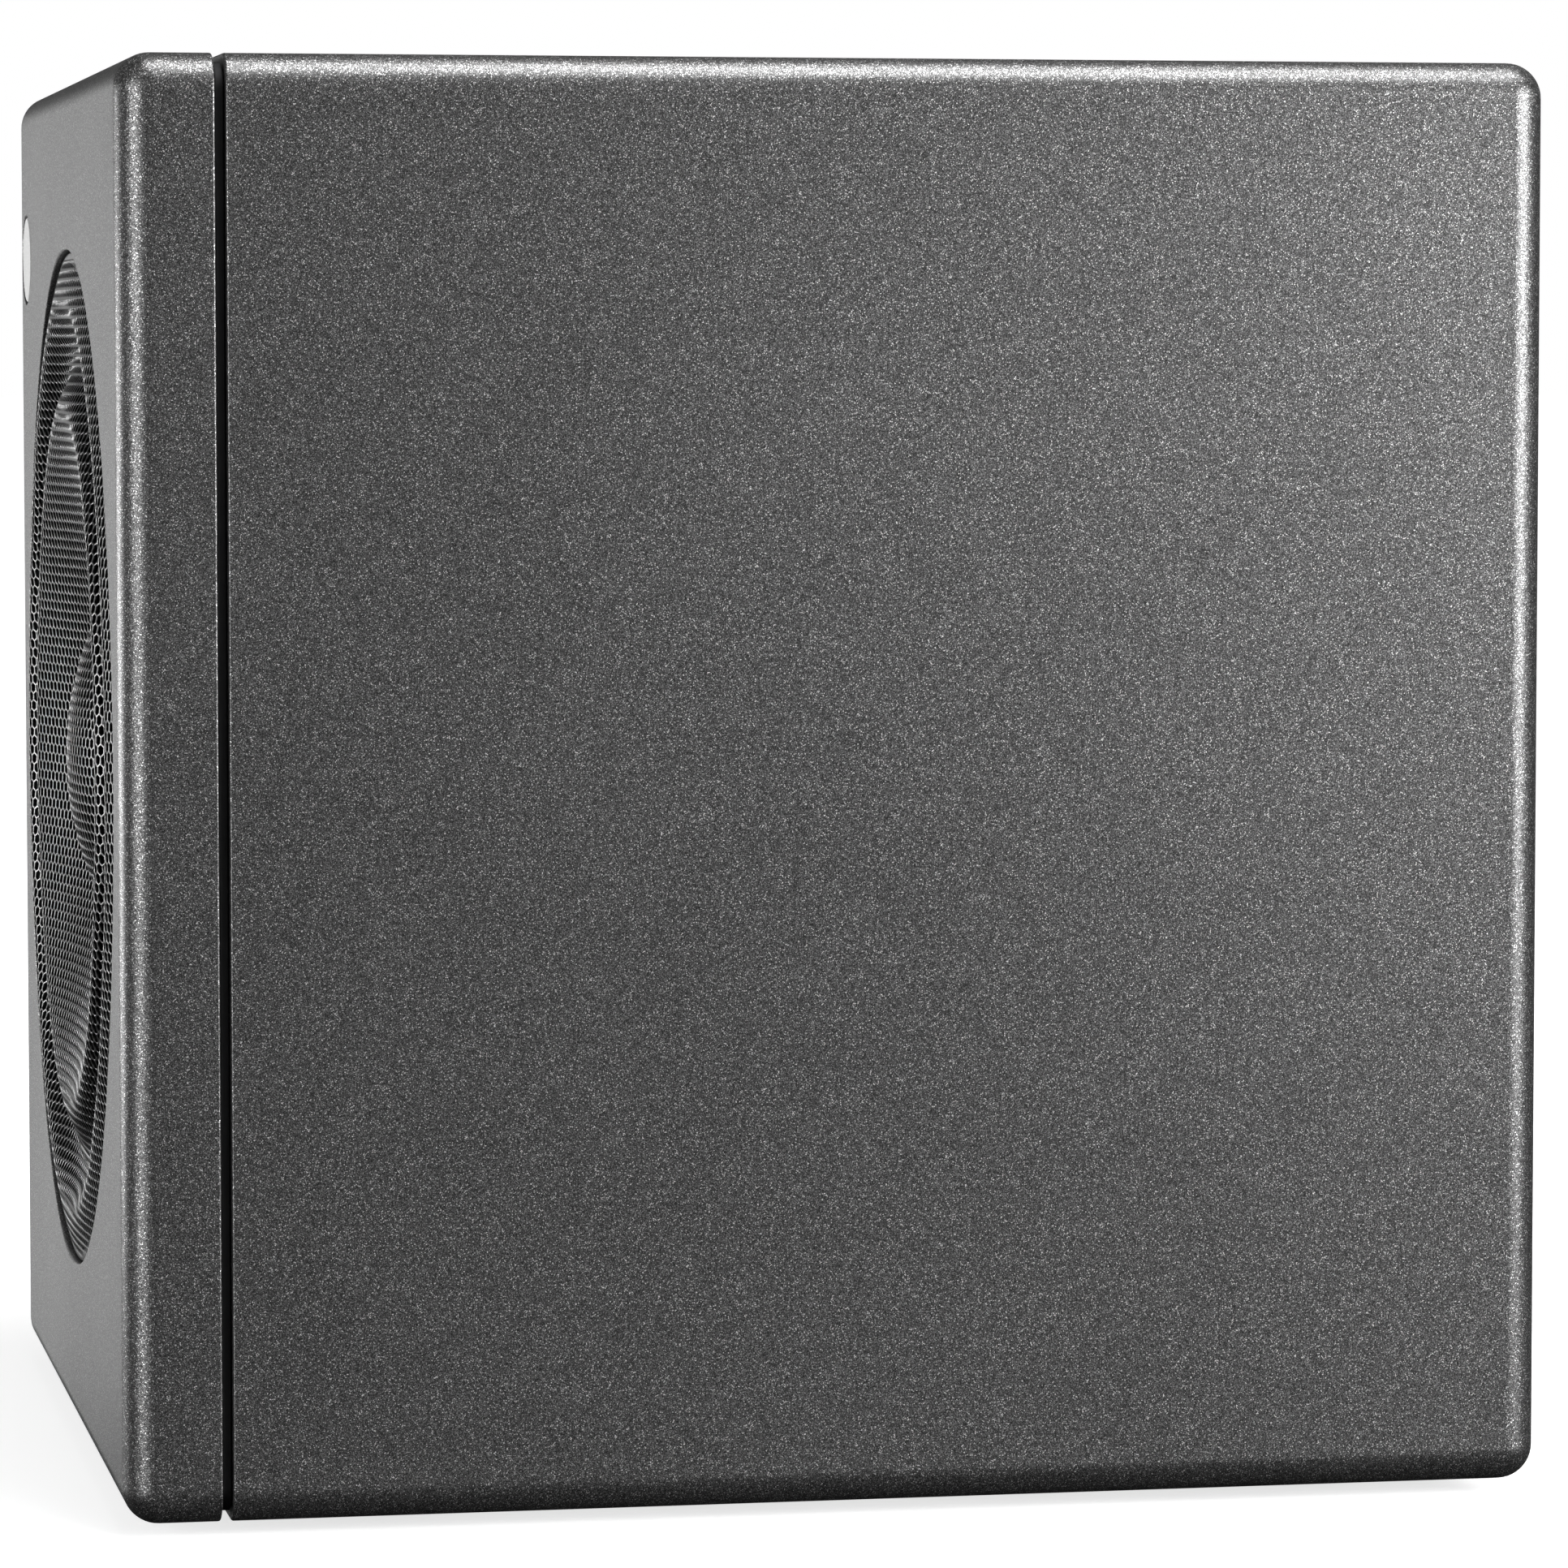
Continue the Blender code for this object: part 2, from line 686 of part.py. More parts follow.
def make_motor(axis):
    top_plate = [
        (70 * MM, -64.3 * MM),
        (70 * MM, -72.3 * MM),
        (27.5 * MM, -72.3 * MM),
        (27.5 * MM, -64.3 * MM),
    ]
    magnet = [
        (78 * MM, -72.6 * MM),
        (78 * MM, -94.6 * MM),
        (38 * MM, -94.6 * MM),
        (38 * MM, -72.6 * MM),
    ]
    yoke = [
        (8 * MM, -63 * MM),
        (24.5 * MM, -63 * MM),
        (24.5 * MM, -94.9 * MM),
        (70 * MM, -94.9 * MM),
        (70 * MM, -103 * MM),
        (8 * MM, -103 * MM),
    ]
    turned("top_plate", top_plate, STEEL, axis)
    turned("magnet", magnet, FERRITE, axis)
    turned("yoke", yoke, STEEL, axis)


CONE_NECK = (25.9 * MM, -38 * MM)
CONE_EDGE = (89.5 * MM, -3.6 * MM)


def cone_height(radius):
    """Height of the cone's front face, which bulges a little towards the front."""
    share = (radius - CONE_NECK[0]) / (CONE_EDGE[0] - CONE_NECK[0])
    bulge = 3 * MM * math.sin(math.pi * share)
    return CONE_NECK[1] + share * (CONE_EDGE[1] - CONE_NECK[1]) + bulge


def make_moving_parts(axis):
    shares = [1.0, 0.75, 0.5, 0.25, 0.0]
    radii = [CONE_NECK[0] + s * (CONE_EDGE[0] - CONE_NECK[0]) for s in shares]
    face = [(94 * MM, -2.6 * MM), *[(r, cone_height(r)) for r in radii]]
    turned("cone", sheet_profile(face, 1.0 * MM), PAPER_BLACK, axis)

    cap_radius = 42 * MM
    edge = cone_height(cap_radius) + FIT_GAP + 0.6 * MM
    rise = 10 * MM
    dome = [
        (cap_radius * math.sin(t), edge - rise * (1 - math.cos(t)) + rise)
        for t in (math.pi / 2 * i / 5 for i in range(5, 0, -1))
    ]
    inner = [(r - 0.8 * MM, z - 0.6 * MM) for r, z in reversed(dome)]
    crown = edge + rise
    profile = [(0, crown), *reversed(dome), *reversed(inner), (0, crown - 0.7 * MM)]
    turned("dust_cap", profile, PAPER_BLACK, axis, sides=MID_CIRCLE, closed=False)

    former = [
        (25.4 * MM, -31 * MM),
        (25.4 * MM, -82 * MM),
        (25.0 * MM, -82 * MM),
        (25.0 * MM, -31 * MM),
    ]
    coil = [
        (26.9 * MM, -58 * MM),
        (26.9 * MM, -80 * MM),
        (25.7 * MM, -80 * MM),
        (25.7 * MM, -58 * MM),
    ]
    turned("voice_coil_former", former, CAST_ALUMINIUM, axis)
    turned("voice_coil", coil, COPPER, axis)


def make_suspension(axis):
    roll_middle, roll_radius = 103.2 * MM, 8.7 * MM
    turns = [math.pi * i / 6 for i in range(7)]
    face = [(118 * MM, -1.4 * MM)]
    face += [
        (
            roll_middle + roll_radius * math.cos(t),
            -1.4 * MM + roll_radius * math.sin(t),
        )
        for t in turns
    ]
    face += [(90 * MM, -1.4 * MM)]
    turned("surround", sheet_profile(face, 0.8 * MM), BLACK_RUBBER, axis, sides=36)

    lip, neck, waves, height = 80 * MM, 29 * MM, 3, 2 * MM
    steps = waves * 4
    face = [(89 * MM, -42.8 * MM)]
    for i in range(steps + 1):
        radius = lip + (neck - lip) * i / steps
        face.append((radius, -42.8 * MM + height * math.sin(math.pi * i / 2)))
    face.append((25.9 * MM, -42.8 * MM))
    turned("spider", sheet_profile(face, 0.7 * MM), DAMPER_CLOTH, axis, sides=24)


def make_terminals(axis):
    def block(bm):
        add_box(bm, (-16 * MM, -103 * MM, -60 * MM), (16 * MM, -97 * MM, -45 * MM))

    def tabs(bm):
        for x in (-9 * MM, 9 * MM):
            low = (x - 2.4 * MM, -101 * MM, -72 * MM)
            add_box(bm, low, (x + 2.4 * MM, -100.2 * MM, -50 * MM))

    strip = modelled("terminal_block", block, BLACK_PLASTIC, axis)
    join(strip, "terminal_tabs", tabs, axis)

    for name, x in (("left", -9 * MM), ("right", 9 * MM)):
        route = [
            (x, -96.4 * MM, -49 * MM),
            (x, -93 * MM, -49.5 * MM),
            (x, -86 * MM, -52 * MM),
            (x * 0.9, -74 * MM, -53 * MM),
            (x * 0.8, -60 * MM, -50 * MM),
            (x * 0.6, -46 * MM, -49 * MM),
            (x * 0.5, -34 * MM, -52 * MM),
            (x * 0.4, -28.2 * MM, -53 * MM),
        ]
        wire(f"tinsel_lead_{name}", smooth_route(route, 2), 0.7 * MM, COPPER, axis)


# -------------------------------------------------------------- amplifier module
HOUSING_DEPTH = 68 * MM
HOUSING_BACK_Y = LEDGE_Y - HOUSING_DEPTH
BOARD_Y = PLATE_BACK_Y - 26 * MM


def make_amplifier():
    def plate(bm):
        add_box(
            bm,
            (-PLATE_WIDTH / 2, PLATE_BACK_Y, MIDDLE_Z - PLATE_HEIGHT / 2),
            (PLATE_WIDTH / 2, PLATE_Y, MIDDLE_Z + PLATE_HEIGHT / 2),
        )

    def socket_holes(bm):
        y = PLATE_Y
        through = 20 * MM
        for x in [*XLR_INPUTS.values(), *XLR_OUTPUTS.values()]:
            px, pz = on_plate(x, CONNECTOR_ROW)
            add_cylinder(bm, (px, y, pz), 12.2 * MM, through)
        for x in KNOBS.values():
            px, pz = on_plate(x, CONTROL_ROW)
            add_cylinder(bm, (px, y, pz), 3.9 * MM, through, sides=TINY_CIRCLE)
        for x in SELECTOR_XS.values():
            px, pz = on_plate(x, CONTROL_ROW)
            low = (px - 3.4 * MM, y - through / 2, pz - 6 * MM)
            add_box(bm, low, (px + 3.4 * MM, y + through / 2, pz + 6 * MM))

    def latch_holes(bm):
        for x in XLR_INPUTS.values():
            px, pz = on_plate(x, CONNECTOR_ROW)
            low = (px - 4.6 * MM, PLATE_Y - 10 * MM, pz + 9 * MM)
            add_box(bm, low, (px + 4.6 * MM, PLATE_Y + 10 * MM, pz + 15.4 * MM))

    def square_holes(bm):
        y, through = PLATE_Y, 20 * MM
        px, pz = on_plate(NETWORK_X, CONTROL_ROW)
        low = (px - 8.4 * MM, y - through / 2, pz - 7.4 * MM)
        add_box(bm, low, (px + 8.4 * MM, y + through / 2, pz + 7.4 * MM))
        px, pz = on_plate(INLET_X, MAINS_ROW)
        low = (px - 14.4 * MM, y - through / 2, pz - 16.4 * MM)
        add_box(bm, low, (px + 14.4 * MM, y + through / 2, pz + 20.4 * MM))
        px, pz = on_plate(ROCKER_X, MAINS_ROW)
        low = (px - 9.9 * MM, y - through / 2, pz - 14.4 * MM)
        add_box(bm, low, (px + 9.9 * MM, y + through / 2, pz + 14.4 * MM))

    def screw_holes(bm):
        for x, z in PLATE_SCREWS.values():
            radius = SCREW_M4[0] + 0.4 * MM
            add_cylinder(bm, (x, PLATE_Y, z), radius, 20 * MM, sides=TINY_CIRCLE)

    panel = modelled("amp_plate", plate, BLACK_METAL)
    cut(panel, "socket_hole_cutter", socket_holes)
    cut(panel, "latch_hole_cutter", latch_holes)
    cut(panel, "square_hole_cutter", square_holes)
    cut(panel, "plate_screw_cutter", screw_holes)

    shank, head, head_height = SCREW_M4
    for place, (x, z) in PLATE_SCREWS.items():

        def head_solid(bm, x=x, z=z):
            centre = (x, PLATE_Y + FIT_GAP + head_height / 2, z)
            add_cylinder(bm, centre, head, head_height, sides=TINY_CIRCLE)

        def shank_solid(bm, x=x, z=z):
            centre = (x, PLATE_Y - 6 * MM, z)
            add_cylinder(bm, centre, shank, 15 * MM, sides=TINY_CIRCLE)

        name = f"amp_plate_screw_{place}"
        screw = modelled(name, head_solid, BLACK_METAL)
        join(screw, f"{name}_shank", shank_solid)
    make_housing()
    make_boards()
    make_rear_sink()


def make_housing():
    """A sheet-steel box that keeps the cabinet's air off the electronics."""
    half_x = BATTEN_HOLE_WIDTH / 2 - 2 * MM
    half_z = BATTEN_HOLE_HEIGHT / 2 - 2 * MM
    wall = 1.5 * MM
    front = PLATE_BACK_Y - FIT_GAP

    def outside(bm):
        add_box(
            bm,
            (-half_x, HOUSING_BACK_Y, MIDDLE_Z - half_z),
            (half_x, front, MIDDLE_Z + half_z),
        )

    def inside(bm):
        add_box(
            bm,
            (-half_x + wall, HOUSING_BACK_Y + wall, MIDDLE_Z - half_z + wall),
            (half_x - wall, front + 5 * MM, MIDDLE_Z + half_z - wall),
        )

    def cable_hole(bm):
        centre = (0, HOUSING_BACK_Y, MIDDLE_Z - 100 * MM)
        add_cylinder(bm, centre, 4.2 * MM, 10 * MM, sides=TINY_CIRCLE)

    box = modelled("amp_housing", outside, STEEL)
    cut(box, "housing_cutter", inside)
    cut(box, "housing_cable_cutter", cable_hole)


def make_boards():
    def board(bm):
        low = (-105 * MM, BOARD_Y - 1.6 * MM, MIDDLE_Z - 70 * MM)
        add_box(bm, low, (105 * MM, BOARD_Y, MIDDLE_Z + 132 * MM))

    def capacitors(bm):
        for x in (-80, -52, 52, 80):
            centre = (x * MM, BOARD_Y - 12 * MM, MIDDLE_Z + 20 * MM)
            add_cylinder(bm, centre, 11 * MM, 24 * MM, sides=TINY_CIRCLE)

    main_board = modelled("main_board", board, BOARD_GREEN)
    join(main_board, "capacitors", capacitors)

    def amplifier_sink(bm):
        base_low = (-90 * MM, HOUSING_BACK_Y + 8 * MM, MIDDLE_Z + 60 * MM)
        add_box(bm, base_low, (90 * MM, HOUSING_BACK_Y + 14 * MM, MIDDLE_Z + 120 * MM))

    def amplifier_fins(bm):
        for i in range(9):
            x = (-86 + i * 21.5) * MM
            low = (x - 1 * MM, HOUSING_BACK_Y + 12 * MM, MIDDLE_Z + 60 * MM)
            high = (x + 1 * MM, HOUSING_BACK_Y + 30 * MM, MIDDLE_Z + 120 * MM)
            add_box(bm, low, high)

    sink = modelled("amplifier_heat_sink", amplifier_sink, CAST_ALUMINIUM)
    join(sink, "amplifier_fins", amplifier_fins)

    axis = bpy.data.objects.new("transformer_axis", None)
    PARTS.objects.link(axis)
    axis.location = (0, HOUSING_BACK_Y + 3 * MM, MIDDLE_Z - 50 * MM)
    axis.rotation_euler = (-math.pi / 2, 0, 0)
    ring = [
        (44 * MM, 32 * MM),
        (47 * MM, 28 * MM),
        (47 * MM, 4 * MM),
        (44 * MM, 0),
        (18 * MM, 0),
        (16 * MM, 4 * MM),
        (16 * MM, 28 * MM),
        (18 * MM, 32 * MM),
    ]
    turned("mains_transformer", ring, COPPER, axis, sides=MID_CIRCLE)


def make_rear_sink():
    """A finned heat sink on the outside of the plate."""
    half_x, half_z = 52 * MM, 56 * MM
    x0, z0 = on_plate(SINK_X, SINK_Z)
    base_y = PLATE_Y + FIT_GAP

    def base(bm):
        low = (x0 - half_x, base_y, z0 - half_z)
        add_box(bm, low, (x0 + half_x, base_y + 3 * MM, z0 + half_z))

    def fins(bm):
        count = 13
        for i in range(count):
            x = x0 - half_x + 1.2 * MM + i * (2 * half_x - 2.4 * MM) / (count - 1)
            low = (x - 0.9 * MM, base_y + 1 * MM, z0 - half_z + MM)
            add_box(bm, low, (x + 0.9 * MM, base_y + 11 * MM, z0 + half_z - MM))

    sink = modelled("rear_heat_sink", base, BLACK_METAL)
    join(sink, "rear_fins", fins)


# -------------------------------------------------------------- sockets, controls
XLR_FACE_Y = PLATE_Y + FIT_GAP
XLR_FLANGE = 2 * MM
XLR_BARREL = 22 * MM
XLR_BORE_DEPTH = 14 * MM
CONTACT_CIRCLE = 4.3 * MM
CONTACT_BEARINGS = (30, 150, 270)


def xlr_contacts(x):
    """(x, z) of a socket's three contacts."""
    px, pz = on_plate(x, CONNECTOR_ROW)
    turns = [math.radians(bearing) for bearing in CONTACT_BEARINGS]
    return [
        (px + CONTACT_CIRCLE * math.cos(t), pz + CONTACT_CIRCLE * math.sin(t))
        for t in turns
    ]


def xlr_shell(name, x):
    """A square flange with a round barrel behind it and a bore for the plug."""
    px, pz = on_plate(x, CONNECTOR_ROW)
    face = XLR_FACE_Y + XLR_FLANGE

    def flange(bm):
        low = (px - 13 * MM, XLR_FACE_Y, pz - 15.5 * MM)
        add_box(bm, low, (px + 13 * MM, face, pz + 15.5 * MM))

    def barrel(bm):
        centre = (px, XLR_FACE_Y + MM - XLR_BARREL / 2, pz)
        add_cylinder(bm, centre, 11.8 * MM, XLR_BARREL, sides=24)

    def bore(bm):
        add_cylinder(bm, (px, face, pz), 9.7 * MM, 2 * XLR_BORE_DEPTH, sides=24)

    shell = modelled(name, flange, NICKEL)
    join(shell, f"{name}_barrel", barrel)
    cut(shell, f"{name}_bore", bore)
    return shell


def make_xlr_input(side, x):
    name = f"xlr_input_{side}"
    shell = xlr_shell(name, x)
    px, pz = on_plate(x, CONNECTOR_ROW)
    face = XLR_FACE_Y + XLR_FLANGE

    def insert(bm):
        add_cylinder(bm, (px, face - 8 * MM, pz), 7.6 * MM, 14 * MM, sides=SMALL_CIRCLE)

    def contact_holes(bm):
        for cx, cz in xlr_contacts(x):
            add_cylinder(bm, (cx, face, cz), 1.3 * MM, 18 * MM, sides=8)

    def latch_slot(bm):
        low = (px - 4.2 * MM, XLR_FACE_Y - 12 * MM, pz + 10.2 * MM)
        add_box(bm, low, (px + 4.2 * MM, XLR_FACE_Y + 5 * MM, pz + 15 * MM))

    def latch(bm):
        low = (px - 3.8 * MM, XLR_FACE_Y - 4 * MM, pz + 10.6 * MM)
        add_box(bm, low, (px + 3.8 * MM, XLR_FACE_Y + 4.5 * MM, pz + 14.6 * MM))

    join(shell, f"{name}_insert", insert)
    cut(shell, f"{name}_contacts", contact_holes)
    cut(shell, f"{name}_latch_slot", latch_slot)
    origin = (px, XLR_FACE_Y, pz + 12.6 * MM)
    modelled(f"xlr_latch_{side}", latch, NICKEL, origin=origin)


def make_xlr_output(side, x):
    name = f"xlr_output_{side}"
    shell = xlr_shell(name, x)
    length = 10 * MM
    floor = XLR_FACE_Y + XLR_FLANGE - XLR_BORE_DEPTH

    def pins(bm):
        for cx, cz in xlr_contacts(x):
            y = floor - MM + length / 2
            add_cylinder(bm, (cx, y, cz), 1.2 * MM, length, sides=8)

    join(shell, f"{name}_pins", pins)


def make_network_socket():
    px, pz = on_plate(NETWORK_X, CONTROL_ROW)
    face_y = PLATE_Y + 1.5 * MM

    def case(bm):
        low = (px - 8 * MM, PLATE_Y - 18 * MM, pz - 7 * MM)
        add_box(bm, low, (px + 8 * MM, face_y, pz + 7 * MM))

    def mouth(bm):
        low = (px - 5.9 * MM, face_y - 14 * MM, pz - 4 * MM)
        add_box(bm, low, (px + 5.9 * MM, face_y + 5 * MM, pz + 4.2 * MM))

    def key_slot(bm):
        low = (px - 3 * MM, face_y - 13 * MM, pz - 5.8 * MM)
        add_box(bm, low, (px + 3 * MM, face_y + 6 * MM, pz - 3 * MM))

    socket = modelled("network_socket", case, NICKEL)
    cut(socket, "network_mouth_cutter", mouth)
    cut(socket, "network_key_cutter", key_slot)


def make_mains_inlet():
    px, pz = on_plate(INLET_X, MAINS_ROW)
    face_y = PLATE_Y + FIT_GAP
    flange_t = 2.5 * MM

    def flange(bm):
        low = (px - 17 * MM, face_y, pz - 19 * MM)
        add_box(bm, low, (px + 17 * MM, face_y + flange_t, pz + 23 * MM))

    def body(bm):
        low = (px - 14 * MM, face_y - 22 * MM, pz - 16 * MM)
        add_box(bm, low, (px + 14 * MM, face_y + MM, pz + 20 * MM))

    def plug_cavity(bm):
        low = (px - 12 * MM, face_y + flange_t - 17 * MM, pz - 12.5 * MM)
        add_box(bm, low, (px + 12 * MM, face_y + 10 * MM, pz + 4 * MM))

    def drawer_slot(bm):
        low = (px - 12 * MM, face_y + flange_t - 20 * MM, pz + 8 * MM)
        add_box(bm, low, (px + 12 * MM, face_y + 10 * MM, pz + 17 * MM))

    inlet = modelled("mains_inlet", flange, BLACK_PLASTIC)
    join(inlet, "inlet_body", body)
    cut(inlet, "inlet_cavity_cutter", plug_cavity)
    cut(inlet, "fuse_slot_cutter", drawer_slot)

    def blades(bm):
        y_low = face_y + flange_t - 18 * MM
        for dx, dz in ((-7, -6.5), (7, -6.5), (0, -1.5)):
            cx, cz = px + dx * MM, pz + dz * MM
            low = (cx - 1 * MM, y_low, cz - 2 * MM)
            add_box(bm, low, (cx + 1 * MM, y_low + 13 * MM, cz + 2 * MM))

    join(inlet, "inlet_blades", blades)

    def drawer(bm):
        low = (px - 11.6 * MM, face_y + flange_t - 19 * MM, pz + 8.4 * MM)
        add_box(bm, low, (px + 11.6 * MM, face_y + flange_t + 1 * MM, pz + 16.6 * MM))

    def fuse_pocket(bm):
        low = (px - 10.5 * MM, face_y + flange_t - 17 * MM, pz + 10.4 * MM)
        add_box(bm, low, (px + 10.5 * MM, face_y + flange_t - 3 * MM, pz + 18 * MM))

    origin = (px, face_y, pz + 12.5 * MM)
    tray = modelled("fuse_drawer", drawer, BLACK_PLASTIC, origin=origin)
    cut(tray, "fuse_pocket_cutter", fuse_pocket)


ROCKER_TILT = math.radians(10)
ROCKER_PIVOT_Y = PLATE_Y - 4 * MM


def make_power_switch():
    px, pz = on_plate(ROCKER_X, MAINS_ROW)
    face_y = PLATE_Y + FIT_GAP

    def bezel(bm):
        low = (px - 11.5 * MM, face_y, pz - 16 * MM)
        add_box(bm, low, (px + 11.5 * MM, face_y + 2 * MM, pz + 16 * MM))

    def body(bm):
        low = (px - 9.5 * MM, face_y - 20 * MM, pz - 14 * MM)
        add_box(bm, low, (px + 9.5 * MM, face_y + MM, pz + 14 * MM))

    def well(bm):
        low = (px - 7.6 * MM, face_y - 14 * MM, pz - 12 * MM)
        add_box(bm, low, (px + 7.6 * MM, face_y + 10 * MM, pz + 12 * MM))

    frame = modelled("power_switch_frame", bezel, BLACK_PLASTIC)
    join(frame, "power_switch_body", body)
    cut(frame, "power_switch_well", well)

    # The rocker is a block with a shallow V on top. It rests with its lower half in.
    profile = [(-10.4, 0), (-10.4, 7.2), (0, 5.6), (10.4, 7.2), (10.4, 0), (0, -5)]
    mesh = bpy.data.meshes.new("power_rocker")
    bm = bmesh.new()
    corners = [bm.verts.new((-7.2 * MM, y * MM, z * MM)) for z, y in profile]
    face = bm.faces.new(corners)
    swept = bmesh.ops.extrude_face_region(bm, geom=[face])["geom"]
    moved = [v for v in swept if isinstance(v, bmesh.types.BMVert)]
    bmesh.ops.translate(bm, vec=(14.4 * MM, 0, 0), verts=moved)
    bmesh.ops.recalc_face_normals(bm, faces=bm.faces)
    bm.to_mesh(mesh)
    bm.free()
    rocker = object_from("power_rocker", mesh, PARTS, BLACK_PLASTIC)
    rocker.location = (px, ROCKER_PIVOT_Y, pz)
    rocker.rotation_euler = (ROCKER_TILT, 0, 0)


def make_control_board():
    """The small board behind the plate that carries the knobs' shafts and switches."""
    board_y = PLATE_BACK_Y - 14 * MM
    places = [on_plate(x, CONTROL_ROW) for x in KNOBS.values()]
    switches = [on_plate(x, CONTROL_ROW) for x in SELECTOR_XS.values()]

    def board(bm):
        low = (-22 * MM, board_y - 1.6 * MM, MIDDLE_Z + CONTROL_ROW - 14 * MM)
        add_box(bm, low, (100 * MM, board_y, MIDDLE_Z + CONTROL_ROW + 14 * MM))

    def bodies(bm):
        for px, pz in places:
            low = (px - 8 * MM, board_y - MM, pz - 8 * MM)
            add_box(bm, low, (px + 8 * MM, PLATE_BACK_Y - 3 * MM, pz + 8 * MM))
        for px, pz in switches:
            low = (px - 5 * MM, board_y - MM, pz - 9 * MM)
            add_box(bm, low, (px + 5 * MM, PLATE_BACK_Y - FIT_GAP, pz + 9 * MM))

    def shafts(bm):
        for px, pz in places:
            add_cylinder(bm, (px, PLATE_Y - 2 * MM, pz), 3 * MM, 14 * MM, sides=12)

    def slots(bm):
        for px, pz in switches:
            low = (px - 2.8 * MM, PLATE_BACK_Y - 6 * MM, pz - 5.4 * MM)
            add_box(bm, low, (px + 2.8 * MM, PLATE_BACK_Y + MM, pz + 5.4 * MM))

    control_board = modelled("control_board", board, BOARD_GREEN)
    join(control_board, "control_bodies", bodies)
    join(control_board, "control_shafts", shafts)
    cut(control_board, "selector_slot_cutter", slots)


def make_knobs():
    base_y = PLATE_Y + 1 * MM
    height = 11 * MM
    for name, x in KNOBS.items():
        px, pz = on_plate(x, CONTROL_ROW)

        def body(bm, px=px, pz=pz):
            centre = (px, base_y + height / 2, pz)
            add_cylinder(bm, centre, 8 * MM, height, sides=24, top=6.8 * MM)

        def shaft_hole(bm, px=px, pz=pz):
            add_cylinder(bm, (px, base_y, pz), 3.3 * MM, 11 * MM, sides=12)

        def pointer(bm, px=px, pz=pz):
            low = (px - 0.6 * MM, base_y + height - 0.8 * MM, pz + 1 * MM)
            add_box(bm, low, (px + 0.6 * MM, base_y + height + MM, pz + 9 * MM))

        knob = modelled(name, body, BLACK_PLASTIC, origin=(px, PLATE_Y, pz))
        cut(knob, f"{name}_hole", shaft_hole)
        cut(knob, f"{name}_pointer", pointer)


def make_selectors():
    """The sliders of the two slide switches, at the lower end of their slots."""
    for name, x in SELECTOR_XS.items():
        px, pz = on_plate(x, CONTROL_ROW)

        def slider(bm, px=px, pz=pz):
            low = (px - 2.4 * MM, PLATE_BACK_Y - 5.6 * MM, pz - 5 * MM)
            add_box(bm, low, (px + 2.4 * MM, PLATE_Y + 1.5 * MM, pz + 0.6 * MM))

        origin = (px, PLATE_Y, pz - 2.2 * MM)
        modelled(name, slider, GREY_PLASTIC, origin=origin)


def make_speaker_cable():
    """The lead from the amplifier housing to the woofer's terminals."""
    tab_y = FLANGE_FRONT_Y + 74.5 * MM
    start = (0, HOUSING_BACK_Y + 6 * MM, MIDDLE_Z - 100 * MM)
    route = smooth_route(
        [
            start,
            (0, HOUSING_BACK_Y - 12 * MM, MIDDLE_Z - 100 * MM),
            (4 * MM, 66 * MM, MIDDLE_Z - 112 * MM),
            (10 * MM, 40 * MM, MIDDLE_Z - 108 * MM),
            (12 * MM, 6 * MM, MIDDLE_Z - 112 * MM),
            (10 * MM, -30 * MM, MIDDLE_Z - 114 * MM),
            (3 * MM, -58 * MM, MIDDLE_Z - 106 * MM),
            (0, tab_y + 4 * MM, MIDDLE_Z - 101.6 * MM),
            (0, tab_y, MIDDLE_Z - 101.6 * MM),
        ],
        3,
    )
    wire("speaker_cable", route, 3 * MM, BLACK_RUBBER)


make_cabinet()
make_rear_frame()
make_brace()
make_damping()
make_baffle_gasket()
make_front_panel()
make_status_light()
make_feet()
make_grille()
make_woofer()
make_amplifier()
for xlr_side, xlr_x in XLR_INPUTS.items():
    make_xlr_input(xlr_side, xlr_x)
for xlr_side, xlr_x in XLR_OUTPUTS.items():
    make_xlr_output(xlr_side, xlr_x)
make_network_socket()
make_mains_inlet()
make_power_switch()
make_control_board()
make_knobs()
make_selectors()
make_speaker_cable()
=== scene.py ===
"""The studio subwoofer's looks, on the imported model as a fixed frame.

Units are metres, +Z is up and the front faces -Y.
"""

import json
import math

import bmesh
import bpy
import numpy as np
from mathutils import Matrix, Vector


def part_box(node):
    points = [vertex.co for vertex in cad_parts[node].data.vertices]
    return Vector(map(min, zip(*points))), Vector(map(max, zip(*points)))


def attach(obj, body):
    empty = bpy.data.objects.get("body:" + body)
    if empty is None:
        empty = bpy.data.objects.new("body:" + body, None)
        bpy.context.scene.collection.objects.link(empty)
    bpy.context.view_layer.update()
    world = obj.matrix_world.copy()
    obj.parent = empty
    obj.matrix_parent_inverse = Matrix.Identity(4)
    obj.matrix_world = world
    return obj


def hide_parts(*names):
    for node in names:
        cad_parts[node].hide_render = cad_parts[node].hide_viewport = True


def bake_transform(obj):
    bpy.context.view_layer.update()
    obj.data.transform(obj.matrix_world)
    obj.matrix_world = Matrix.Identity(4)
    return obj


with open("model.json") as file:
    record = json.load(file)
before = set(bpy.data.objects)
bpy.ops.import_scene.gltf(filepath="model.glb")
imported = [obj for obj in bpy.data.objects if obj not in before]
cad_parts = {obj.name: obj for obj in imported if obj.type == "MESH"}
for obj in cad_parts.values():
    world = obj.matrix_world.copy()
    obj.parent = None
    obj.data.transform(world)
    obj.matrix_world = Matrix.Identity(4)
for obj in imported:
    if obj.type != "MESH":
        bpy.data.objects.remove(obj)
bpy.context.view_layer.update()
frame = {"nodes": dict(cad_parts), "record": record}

MM = 0.001
BODY = "enclosure"
CONE = "cone_assembly"


